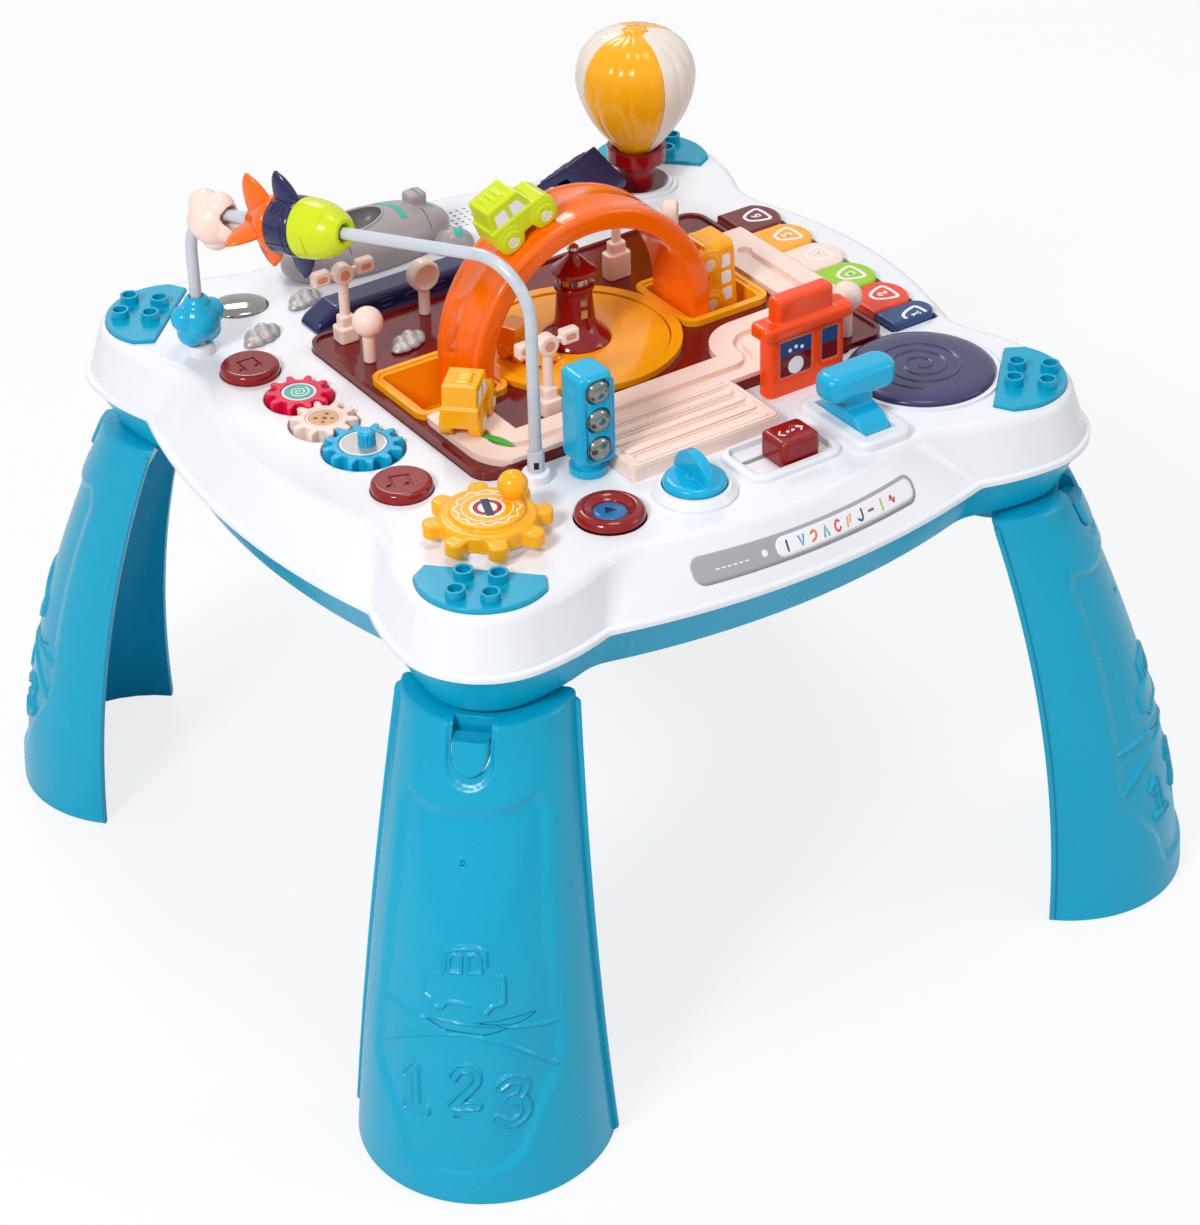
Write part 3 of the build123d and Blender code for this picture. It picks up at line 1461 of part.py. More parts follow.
def balloon_basket():
    z = deck_z
    pivot = -joystick_pivot_drop
    r = pot_radius
    profile = [(0, pivot), (6.0, pivot), (6.0, -3), (r * 0.9, 0), (r, pot_height - 8.5),
               (pot_rim_radius, pot_height - 8.0), (pot_rim_radius, pot_height),
               (pot_rim_radius - 3, pot_height), (pot_rim_radius - 3.2, pot_height - 5),
               (0, pot_height - 5)]
    body = turned(profile, base=z)
    body += Pos(0, 0, z + pivot) * Sphere(joystick_ball())
    return solid_of(Pos(*joystick_at, 0) * body)


def balloon_bulb(r, h, neck):
    """A pear shape from its neck at zero height to its crown."""
    path = Spline((neck, 0, 0), (r * 0.52, 0, h * 0.15), (r * 0.80, 0, h * 0.33), (r, 0, h * 0.68),
                  (r * 0.66, 0, h * 0.94), (0, 0, h), tangents=[(0.9, 0, 1), (-1, 0, 0)])
    face = make_face([path, Line((0, 0, h), (0, 0, 0)), Line((0, 0, 0), (neck, 0, 0))])
    return revolve(face, Axis.Z)


def balloon():
    base = deck_z + pot_height - 5
    h = balloon_height
    body = balloon_bulb(balloon_radius, h, 7.0)
    body += Pos(0, 0, h - 1.5) * Cylinder(5.0, 5.0)
    body -= Pos(0, 0, thin_wall) * balloon_bulb(balloon_radius - thin_wall, h - 2 * thin_wall,
                                                7.0 - thin_wall)
    return solid_of(Pos(joystick_at[0], joystick_at[1], base) * body)


def submarine():
    a, b, c = sub_size
    hull = scale(Sphere(1), (a, b, c))
    hull = Pos(0, 0, deck_z + 8) * hull
    hull &= block(-90, 90, -60, 60, deck_z, deck_z + 60)
    room = scale(Sphere(1), (a - thin_wall, b - thin_wall, c - thin_wall))
    wall = scale(Sphere(1), (21 + thin_wall, 11 + thin_wall, 14 + thin_wall))
    cockpit = scale(Sphere(1), (21, 11, 14))
    hull -= Pos(0, 0, deck_z + 8) * room - Pos(-11, -1, deck_z + 26) * wall
    hull -= Pos(-11, -1, deck_z + 26) * cockpit
    hatch = slab(25, 36, -5, 5, deck_z + 12, deck_z + 29, 2.5)
    hull += soften(hatch, 2.0, top_edges(hatch))
    for side in (-1, 1):
        fin = Pos(42, side * 19, deck_z) * scale(Sphere(1), (12, 9, 11))
        hull += fin & block(-90, 90, -60, 60, deck_z, deck_z + 60)
    return solid_of(Pos(*sub_at, 0) * hull)


def train():
    z = deck_z + seat_gap
    half = train_length / 2
    w = train_width / 2
    side = [(-half, 0), (-half + 3, 6.0), (-half + 13, train_height), (half - 13, train_height),
            (half - 3, 6.0), (half, 0)]
    path = Polyline(*[(x, 0, z + y) for x, y in side], close=True)
    body = extrude(make_face(path), w, both=True)
    body = soften(body, 3.0, [e for e in body.edges() if e.center().Z > z + 3
                              and abs(abs(e.center().Y) - w) < 0.1])
    for index in range(6):
        x = -half + 22 + index * 15.6
        for sign in (-1, 1):
            body -= block(x, x + 9, sign * w - 0.6, sign * w + 0.6, z + 3.5, z + 7.5)
    foot = deck_under_z - seat_gap
    body += slab(-5, 5, -train_slot / 2 + slide_clear, train_slot / 2 - slide_clear, foot - 2,
                 z + 1, 0.5)
    body += slab(-7, 7, -4, 4, foot - 2, foot, 1.0)
    return solid_of(Pos(*train_at, 0) * body)


def tile_roof():
    """A small house with a steep gable roof and raised shingles."""
    z = deck_z
    walls = block(-12, 12, -11, 11, z, z + 14)
    gable = Polyline((0, -19.5, z + 11), (0, 0, z + 30), (0, 19.5, z + 11), (0, 16, z + 9),
                     (0, -16, z + 9), close=True)
    roof = extrude(make_face(gable), 16, both=True)
    body = walls + roof
    slope = degrees(atan2(19.0, 19.5))
    for side in (-1, 1):
        for row in range(3):
            for col in range(4):
                x = -10.5 + col * 7 + (row % 2) * 1.5
                along = 5 + row * 7
                y = side * along * cos(radians(slope))
                height = z + 30 - along * sin(radians(slope))
                tile = Pos(x, y, height) * Rot(-side * slope, 0, 0) * Box(4.6, 1.3, 1.2)
                body += tile
    return solid_of(Pos(*house_at, 0) * Rot(0, 0, house_turn) * body)


def cloud_tile(at, length, width, turn, low):
    body = None
    for dx, dy, r in ((-0.30, -0.06, 0.30), (-0.05, 0.12, 0.34), (0.2, 0.08, 0.3),
                      (0.34, -0.08, 0.24), (0.05, -0.14, 0.34)):
        puff = disc(r * width * 1.25, low, low + 2.6, (dx * length, dy * width))
        body = puff if body is None else body + puff
    return solid_of(Pos(at[0], at[1], 0) * Rot(0, 0, turn) * body)


def mirror_inserts():
    """One oval mirror and three bright cloud tiles, let a little into their seats."""
    oval = Pos(-115.5, 137.5, deck_z) * Rot(0, 0, -25) * Ellipse(15.5, 12.5)
    mirror = solid_of(soften(extrude(oval, 1.6), 0.6))
    clouds = [cloud_tile((-122.5, 101.0), 24, 15, 20, deck_z),
              cloud_tile((-86.0, 121.5), 22, 14, 20, deck_z),
              cloud_tile((-69.0, 47.0), 24, 14, 20, board_floor_z)]
    return grouped([mirror] + clouds)


def post_places():
    """Kind, place and turn of each street post."""
    return [("sign", (-91.0, 70.0), 0), ("tree", (-93.0, 44.0), 0), ("mirror", (-45.0, 70.0), 0),
            ("spade", (56.0, 45.5), 0), ("sign", (-49.0, -50.0), 0), ("mirror", (93.0, 50.0), 50),
            ("tree", (112.0, -74.5), 0)]


def street_post(kind, at, turn):
    z = board_floor_z
    if kind == "sign":
        body = slab(-5.5, 5.5, -5, 5, z, z + 8, 2) + slab(-4, 4, -3.5, 3.5, z + 7, z + 14, 2)
        body += disc(2.7, z + 13, z + 34)
        body += Pos(0, 0, z + 37) * Rot(90, 0, 0) * Cylinder(5.4, 6.0)
        for side in (-1, 1):
            body += Pos(side * 7, 0, z + 37.5) * Box(6, 2.6, 2.6)
            arm = Pos(side * 12.5, 0, z + 38) * Box(9.5, 5.6, 7.4)
            body += soften(arm, 1.0)
        for side in (-1, 1):
            body -= Pos(side * 12.5, -2.8, z + 38) * Box(5.0, 2.0, 2.6)
    elif kind == "tree":
        body = disc(3.2, z, z + 18) + Pos(0, 0, z + 22) * Sphere(7.8)
    elif kind == "mirror":
        body = disc(3.0, z, z + 18)
        body += Pos(0, 0, z + 22) * Rot(90, 0, 0) * Cylinder(8.4, 8.0)
        body = soften(body, 2.0, [e for e in body.edges() if abs(e.length - 2 * pi * 8.4) < 0.5])
        body -= Pos(0, -4.0, z + 22) * Rot(90, 0, 0) * Cylinder(6.2, 6.0)
    else:
        body = slab(-7, 7, -4.5, 4.5, z, z + 14, 2.5) + slab(-4.5, 4.5, -3.5, 3.5, z + 13, z + 20, 2)
        body += disc(2.4, z + 19, z + 40)
    return solid_of(Pos(at[0], at[1], 0) * Rot(0, 0, turn) * body)


def street_posts():
    return grouped([street_post(kind, at, turn) for kind, at, turn in post_places()])


# ================================================================ build
def main():
    save("top_shell", top_shell())
    save("bottom_shell", bottom_shell())
    save("battery_door", battery_door())
    save("battery_cells", battery_cells(), battery_count)
    save("case_screws", case_screws(), len(screw_places()))
    save("circuit_board", circuit_board())
    save("speaker", speaker())
    for name, turn in lobe_turns().items():
        save(f"leg_{name}", leg(turn))
        save(f"latch_{name}", latch(turn))
    save("corner_plates", grouped([corner_plate(t) for t in lobe_turns().values()]), 4)
    save("centre_board", centre_board())
    save("road_track", road_track())
    save("bin_tray", bin_tray())
    save("arch_bridge", arch_bridge())
    save("turntable", turntable())
    save("lighthouse", lighthouse())
    save("turntable_car", turntable_car())
    save("green_car", arch_car("car", green_car_angle))
    save("bus", arch_car("bus", bus_angle))
    save("yellow_car", yellow_car())
    save("car_guide_pin", car_guide_pin())
    save("wire_loop", wire_loop())
    save("rocket_nose", rocket_nose())
    save("rocket_body", rocket_body())
    save("rocket_tail", rocket_tail())
    save("cloud_bead", cloud_bead())
    save("blue_bead", blue_bead())
    save("note_button_front", note_button(note_front, -20, 0))
    save("note_button_back", note_button(note_back, 0, -9))
    save("start_button", start_button())
    for number, south, north in key_spans():
        save(f"key_{number}", key(south, north))
    for name in gear_teeth:
        save(name, toy_gear(name))
    save("crank_wheel", crank_wheel())
    save("dial_knob", dial_knob())
    save("slider_block", slider_block())
    save("throttle_lever", throttle_lever())
    save("record_disc", record_disc())
    save("traffic_light", traffic_light())
    save("traffic_lenses", traffic_lenses(), 3)
    save("station", station())
    save("balloon_basket", balloon_basket())
    save("balloon", balloon())
    save("submarine", submarine())
    save("train", train())
    save("tile_roof", tile_roof())
    save("mirror_inserts", mirror_inserts(), 4)
    save("street_posts", street_posts(), len(post_places()))


main()
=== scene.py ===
import json
import bmesh
import bpy
import numpy as np
from math import atan2, cos, hypot, pi, radians, sin, sqrt
from mathutils import Matrix, Vector
from mathutils.bvhtree import BVHTree


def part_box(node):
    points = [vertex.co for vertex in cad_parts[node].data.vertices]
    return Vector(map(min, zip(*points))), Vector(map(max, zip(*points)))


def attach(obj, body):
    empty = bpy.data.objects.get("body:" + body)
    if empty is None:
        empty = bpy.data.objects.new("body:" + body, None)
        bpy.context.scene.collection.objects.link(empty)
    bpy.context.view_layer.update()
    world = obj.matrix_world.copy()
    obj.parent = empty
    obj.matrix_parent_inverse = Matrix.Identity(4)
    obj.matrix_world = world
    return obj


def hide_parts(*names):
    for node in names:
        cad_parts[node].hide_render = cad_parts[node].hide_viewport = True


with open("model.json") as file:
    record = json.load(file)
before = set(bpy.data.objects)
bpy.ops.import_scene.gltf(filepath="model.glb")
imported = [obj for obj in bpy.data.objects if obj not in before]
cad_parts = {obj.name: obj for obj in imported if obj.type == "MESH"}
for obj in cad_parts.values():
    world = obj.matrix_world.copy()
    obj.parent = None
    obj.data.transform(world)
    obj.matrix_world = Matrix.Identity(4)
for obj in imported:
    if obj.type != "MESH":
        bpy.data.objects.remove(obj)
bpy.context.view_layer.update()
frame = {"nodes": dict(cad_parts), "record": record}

nodes = frame["nodes"]
mm = 0.001
bodyOf = {node: body for body, names in frame["record"]["behaviour"]["bodies"].items()
          for node in names}
print("frame loaded:", len(nodes), "nodes")


class Value:
    # one socket of a tree; arithmetic on it adds Math nodes
    def __init__(self, tree, socket):
        self.tree, self.socket = tree, socket

    def math(self, operation, first, second=None):
        inputs = {0: first} if second is None else {0: first, 1: second}
        return self.tree.add("ShaderNodeMath", {"operation": operation}, inputs)

    def __add__(self, other): return self.math("ADD", self, other)
    def __radd__(self, other): return self.math("ADD", other, self)
    def __sub__(self, other): return self.math("SUBTRACT", self, other)
    def __rsub__(self, other): return self.math("SUBTRACT", other, self)
    def __mul__(self, other): return self.math("MULTIPLY", self, other)
    def __rmul__(self, other): return self.math("MULTIPLY", other, self)
    def __truediv__(self, other): return self.math("DIVIDE", self, other)
    def __rtruediv__(self, other): return self.math("DIVIDE", other, self)
    def __neg__(self): return self.math("MULTIPLY", self, -1.0)
    def __abs__(self): return self.math("ABSOLUTE", self)
    def __pow__(self, other): return self.math("POWER", self, other)
    def __mod__(self, other): return self.math("FLOORED_MODULO", self, other)
    def __gt__(self, other): return self.math("GREATER_THAN", self, other)
    def __lt__(self, other): return self.math("LESS_THAN", self, other)
    def sine(self): return self.math("SINE", self)
    def clamp(self): return self.tree.add("ShaderNodeClamp", {}, {0: self})
    def smallest(self, other): return self.math("MINIMUM", self, other)
    def largest(self, other): return self.math("MAXIMUM", self, other)


class Tree:
    # one node tree; add() makes any node, sets it up, then fills its inputs
    def __init__(self, tree):
        self.tree = tree
        tree.nodes.clear()

    def add(self, kind, settings=None, inputs=None, out=0):
        node = self.tree.nodes.new(kind)
        for key, value in (settings or {}).items():
            if key == "stops":
                ramp = node.color_ramp
                while len(ramp.elements) < len(value):
                    ramp.elements.new(0.5)
                for element, (place, colour) in zip(ramp.elements, value):
                    element.position = place
                    element.color = colour if hasattr(colour, "__len__") else (colour,) * 3 + (1,)
            else:
                setattr(node, key, value)
        for key, value in (inputs or {}).items():
            socket = node.inputs[key]
            if isinstance(value, Value):
                self.tree.links.new(value.socket, socket)
            else:
                socket.default_value = value
        self.last = node
        return Value(self, node.outputs[out]) if len(node.outputs) else None

    def pick(self, out):
        return Value(self, self.last.outputs[out])


def seen(code, alpha=1.0):
    # "#rrggbb" as the eye sees it, turned to scene-linear
    parts = [int(code[i:i + 2], 16) / 255 for i in (1, 3, 5)]
    flat = [p / 12.92 if p <= 0.04045 else ((p + 0.055) / 1.055) ** 2.4 for p in parts]
    return (*flat, alpha)


mouldedPlastic = {
    "mottleScale": 9.0, "mottle": 0.035, "smudgeScale": 30.0, "smudge": 0.05,
    "peelScale": 420.0, "peelDepth": 0.035, "edgeRadius": 0.0007, "scratch": 0.04,
}


class Finish:
    # a principled material whose colour, roughness and bump can be built up
    def __init__(self, name, rough, coat=0.0, metallic=0.0, **fixed):
        self.material = bpy.data.materials.new(name)
        self.material.use_nodes = True
        self.tree = Tree(self.material.node_tree)
        add = self.tree.add
        self.shader = add("ShaderNodeBsdfPrincipled", {}, {
            "Roughness": rough, "Coat Weight": coat, "Coat Roughness": 0.08,
            "Metallic": metallic, **fixed})
        self.node = self.tree.last
        add("ShaderNodeOutputMaterial", {}, {"Surface": self.shader})
        add("ShaderNodeTexCoord")
        self.place = self.tree.pick("Object")
        self.baseRough = rough

    def noise(self, scale, detail=2.0, rough=0.5, stretch=None):
        where = self.place
        if stretch:
            where = self.tree.add("ShaderNodeMapping", {}, {"Vector": where, "Scale": stretch})
        return self.tree.add("ShaderNodeTexNoise", {}, {
            "Vector": where, "Scale": scale, "Detail": detail, "Roughness": rough})

    def mix(self, factor, first, second, blend="MIX"):
        return self.tree.add("ShaderNodeMix", {"data_type": "RGBA", "blend_type": blend},
                             {"Factor": factor, 6: first, 7: second}, out=2)

    def set(self, socket, value):
        target = self.node.inputs[socket]
        if isinstance(value, Value):
            self.tree.tree.links.new(value.socket, target)
        else:
            target.default_value = value


def dress(finish, colour, look=mouldedPlastic):
    # moulded surface: faint mottling, handling smudges, fine scratches, soft edges
    add = finish.tree.add
    mottle = finish.noise(look["mottleScale"], 3.0)
    darker = finish.mix(1.0, colour, (0.86, 0.87, 0.90, 1), "MULTIPLY")
    share = ((mottle - 0.38) * (look["mottle"] * 14)).clamp()
    body = finish.mix(share, colour, darker)
    smudge = finish.noise(look["smudgeScale"], 5.0, 0.62)
    lines = finish.noise(220.0, 1.0, 0.5, (1.0, 14.0, 4.0))
    scratches = ((lines - 0.70) * 9.0).clamp()
    finish.set("Base Color", body)
    finish.set("Roughness", (smudge - 0.5) * look["smudge"] * 2.0 + scratches * look["scratch"]
               + finish.baseRough)
    peel = finish.noise(look["peelScale"], 2.0)
    edge = add("ShaderNodeBevel", {"samples": 4}, {"Radius": look["edgeRadius"]})
    bump = add("ShaderNodeBump", {}, {"Strength": look["peelDepth"], "Distance": 0.0004,
                                      "Height": peel, "Normal": edge})
    finish.set("Normal", bump)
    return finish.material


def plastic(name, code, rough=0.24, coat=0.12, sheen=0.25, **look):
    finish = Finish(name, rough, coat, **{"Specular IOR Level": sheen})
    return dress(finish, seen(code), {**mouldedPlastic, **look})


paint = {
    "white": plastic("deckWhite", "#EFF0F5", 0.24),
    "teal": plastic("legTeal", "#00A5C9", 0.27),
    "cyan": plastic("toyCyan", "#0DB0DC", 0.17, 0.2),
    "maroon": plastic("boardMaroon", "#70090B", 0.12, 0.3),
    "deepRed": plastic("towerRed", "#8E080C", 0.13, 0.35),
    "red": plastic("labelRed", "#B01A1C", 0.14, 0.3),
    "orange": plastic("archOrange", "#FF6C00", 0.13, 0.3),
    "signOrange": plastic("stationOrange", "#FA4A06", 0.15, 0.25),
    "amber": plastic("trayAmber", "#FFAC0A", 0.15, 0.25),
    "yellow": plastic("wheelYellow", "#FFB30C", 0.18, 0.2),
    "peach": plastic("roadPeach", "#FADFD2", 0.24),
    # darker peach for the sign recesses: painted shade
    "inset": plastic("peachRecessShade", "#E89B78", 0.3),
    "navy": plastic("rocketNavy", "#232653", 0.15, 0.3),
    "record": plastic("recordViolet", "#3B3965", 0.2, 0.25),
    "cockpit": plastic("cockpitGrey", "#6C6665", 0.35, 0.1),
    "cream": plastic("balloonCream", "#F1E4D7", 0.26),
    "lime": plastic("carLime", "#D2E216", 0.2),
    "keyLime": plastic("keyLime", "#9CD00F", 0.2),
    "keyRed": plastic("keyRed", "#EE4420", 0.2),
    "keyBlue": plastic("keyBlue", "#23487C", 0.2),
    "grey": plastic("subGrey", "#ABA3A3", 0.3, 0.1),
    "pink": plastic("gearPink", "#EC0F4C", 0.18, 0.2),
    "aqua": plastic("subAqua", "#43B9A8", 0.3),
    "green": plastic("roadGreen", "#2FB335", 0.3),
    "print": plastic("whitePrint", "#F4F2F8", 0.4, 0.0, edgeRadius=0.0001),
    # black for seams and the speaker, and as painted shade in the wire sleeve's slot
    "black": plastic("seamBlackAndSlotShade", "#17161A", 0.5, 0.0),
    "card": plastic("cardGreen", "#1C5E38", 0.45, 0.0),
    "labelGrey": plastic("labelGrey", "#A9A9AD", 0.35, 0.1),
    "labelTan": plastic("labelTan", "#D9A57C", 0.3, 0.1),
    "brown": plastic("spotBrown", "#7A4A2C", 0.3, 0.1),
    "buttonBlue": plastic("buttonBlue", "#2273AE", 0.16, 0.3),
}


def coating():
    # pale coat on the bead wire, thinner and greyer where beads have run
    finish = Finish("wireCoat", 0.28, 0.4)
    wear = finish.noise(40.0, 4.0, 0.6, (1.0, 1.0, 3.0))
    shade = finish.mix(((wear - 0.5) * 3.0).clamp(), seen("#C7CDD6"), seen("#B4BCC8"))
    dress(finish, seen("#C7CDD6"))
    finish.set("Base Color", shade)
    return finish.material


def silver(name, code, rough, dark="#8F8B8A", metal=1.0, depth=0.04):
    finish = Finish(name, rough, 0.0, metal)
    wave = finish.noise(38.0, 3.0)
    grime = finish.noise(300.0, 4.0)
    finish.set("Base Color", finish.mix(((wave - 0.4) * 2.0).clamp(), seen(code), seen(dark)))
    finish.set("Roughness", grime * 0.10 + (rough - 0.05))
    bump = finish.tree.add("ShaderNodeBump", {}, {"Strength": depth, "Distance": 0.0004,
                                                  "Height": grime})
    finish.set("Normal", bump)
    return finish.material


paint["wire"] = coating()
paint["mirror"] = silver("insertSilver", "#B2AEAD", 0.42, "#9C9896", 0.45)
paint["glass"] = silver("mirrorSheet", "#9A9792", 0.08, "#7F7C76", 1.0, 0.01)
paint["chrome"] = silver("lensChrome", "#C2C4C0", 0.12)
paint["smoke"] = silver("lensSmoke", "#8B8F88", 0.10, "#565A55", 0.85, 0.01)
paint["steel"] = silver("screwSteel", "#A8A8AA", 0.32)
print("materials ready:", len(paint))

nodePaint = {
    "white": ["top_shell"],
    "teal": ["bottom_shell", "battery_door", "corner_plates"]
            + [f"{kind}_{end}_{side}" for kind in ("leg", "latch") for end in ("front", "back")
               for side in ("left", "right")],
    "maroon": ["centre_board", "key_6"],
    "deepRed": ["note_button_front", "note_button_back", "slider_block", "balloon_basket",
                "lighthouse", "start_button"],
    "keyRed": ["key_2"],
    "peach": ["road_track", "street_posts", "gear_cream", "key_4", "cloud_bead"],
    "amber": ["bin_tray", "bus", "turntable", "key_5", "turntable_car"],
    "orange": ["arch_bridge", "station", "rocket_tail"],
    "keyLime": ["key_3"],
    "lime": ["green_car", "rocket_nose"],
    "yellow": ["yellow_car", "car_guide_pin", "crank_wheel", "balloon"],
    "wire": ["wire_loop"],
    "keyBlue": ["key_1"],
    "navy": ["rocket_body", "train", "tile_roof", "record_disc"],
    "cyan": ["gear_blue", "dial_knob", "throttle_lever", "traffic_light"],
    "pink": ["gear_pink"],
    "chrome": ["traffic_lenses"],
    "grey": ["submarine"],
    "mirror": ["mirror_inserts"],
    "steel": ["case_screws", "battery_cells"],
    "card": ["circuit_board"],
    "black": ["speaker"],
}
nodePaint["cyan"].append("blue_bead")
for key, names in nodePaint.items():
    for name in names:
        slots = nodes[name].data.materials
        slots.clear()
        slots.append(paint[key])


def makePiece(name, mesh, look, body, stands=()):
    piece = bpy.data.objects.new(name, mesh)
    bpy.context.collection.objects.link(piece)
    kinds = np.zeros(len(mesh.polygons), dtype=np.int32)
    mesh.polygons.foreach_get("material_index", kinds)
    mesh.materials.clear()
    for one in (look if isinstance(look, (list, tuple)) else [look]):
        mesh.materials.append(one)
    if isinstance(look, (list, tuple)):
        mesh.polygons.foreach_set("material_index", kinds)
    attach(piece, body)
    if stands:
        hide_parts(*stands)
    return piece


def meshFrom(name, points, faces, smooth=True):
    # points in millimetres
    mesh = bpy.data.meshes.new(name)
    mesh.from_pydata([Vector(p) * mm for p in points], [], faces)
    mesh.validate()
    mesh.update()
    if smooth:
        mesh.shade_smooth()
    return mesh


def tidyNormals(mesh):
    bm = bmesh.new()
    bm.from_mesh(mesh)
    bmesh.ops.remove_doubles(bm, verts=bm.verts, dist=1e-6)
    bmesh.ops.recalc_face_normals(bm, faces=bm.faces)
    bm.to_mesh(mesh)
    bm.free()
    return mesh


def baked(piece):
    # the piece with its modifiers applied, as a plain mesh
    bpy.context.view_layer.update()
    graph = bpy.context.evaluated_depsgraph_get()
    mesh = bpy.data.meshes.new_from_object(piece.evaluated_get(graph))
    old = piece.data
    piece.modifiers.clear()
    piece.data = mesh
    if old.users == 0:
        bpy.data.meshes.remove(old)
    return mesh


def joined(meshes, name):
    # several meshes made one
    bm = bmesh.new()
    for mesh in meshes:
        bm.from_mesh(mesh)
    result = bpy.data.meshes.new(name)
    bm.to_mesh(result)
    bm.free()
    for mesh in meshes:
        if mesh.users == 0:
            bpy.data.meshes.remove(mesh)
    return result


def prismMesh(name, outline, low, high, place=Matrix.Identity(4), smooth=False):
    # a closed outline in x, y carried from low to high
    count = len(outline)
    points = [place @ Vector((x, y, z)) for z in (low, high) for x, y in outline]
    faces = [list(range(count))[::-1], list(range(count, 2 * count))]
    faces += [[i, (i + 1) % count, (i + 1) % count + count, i + count] for i in range(count)]
    return tidyNormals(meshFrom(name, points, faces, smooth))


def latheMesh(name, profile, steps=64, place=Matrix.Identity(4)):
    # profile of (radius, height) turned round z; radius 0 closes an end
    points, faces, rings = [], [], []
    for radius, height in profile:
        if radius < 1e-6:
            rings.append([len(points)])
            points.append(place @ Vector((0, 0, height)))
        else:
            rings.append(list(range(len(points), len(points) + steps)))
            points += [place @ Vector((radius * cos(2 * pi * i / steps),
                                       radius * sin(2 * pi * i / steps), height))
                       for i in range(steps)]
    for low, high in zip(rings, rings[1:]):
        for i in range(steps):
            j = (i + 1) % steps
            quad = [low[i % len(low)], low[j % len(low)], high[j % len(high)], high[i % len(high)]]
            corner = list(dict.fromkeys(quad))
            if len(corner) > 2:
                faces.append(corner)
    return tidyNormals(meshFrom(name, points, faces))


def moulded(node, voxel=0.55, rounds=6, factor=0.5, extra=()):
    # a softened copy of a CAD node: merged, remeshed finely and smoothed at its edges
    source = nodes[node].data
    bm = bmesh.new()
    bm.from_mesh(source)
    bmesh.ops.remove_doubles(bm, verts=bm.verts, dist=2e-6)
    mesh = bpy.data.meshes.new(node + "Soft")
    bm.to_mesh(mesh)
    bm.free()
    if extra:
        mesh = joined([mesh, *extra], node + "Soft")
    return softened(mesh, voxel, rounds, factor)


def softened(mesh, voxel, rounds, factor=0.5):
    piece = bpy.data.objects.new("work", mesh)
    bpy.context.collection.objects.link(piece)
    remesh = piece.modifiers.new("remesh", "REMESH")
    remesh.mode = "VOXEL"
    remesh.voxel_size = voxel * mm
    remesh.use_smooth_shade = True
    smooth = piece.modifiers.new("smooth", "SMOOTH")
    smooth.factor = factor
    smooth.iterations = rounds
    result = baked(piece)
    bpy.data.objects.remove(piece)
    result.shade_smooth()
    return result


def softPiece(node, look, voxel=0.55, rounds=6, factor=0.5, extra=()):
    mesh = moulded(node, voxel, rounds, factor, extra)
    return makePiece(node + "_form", mesh, look, bodyOf[node], [node])


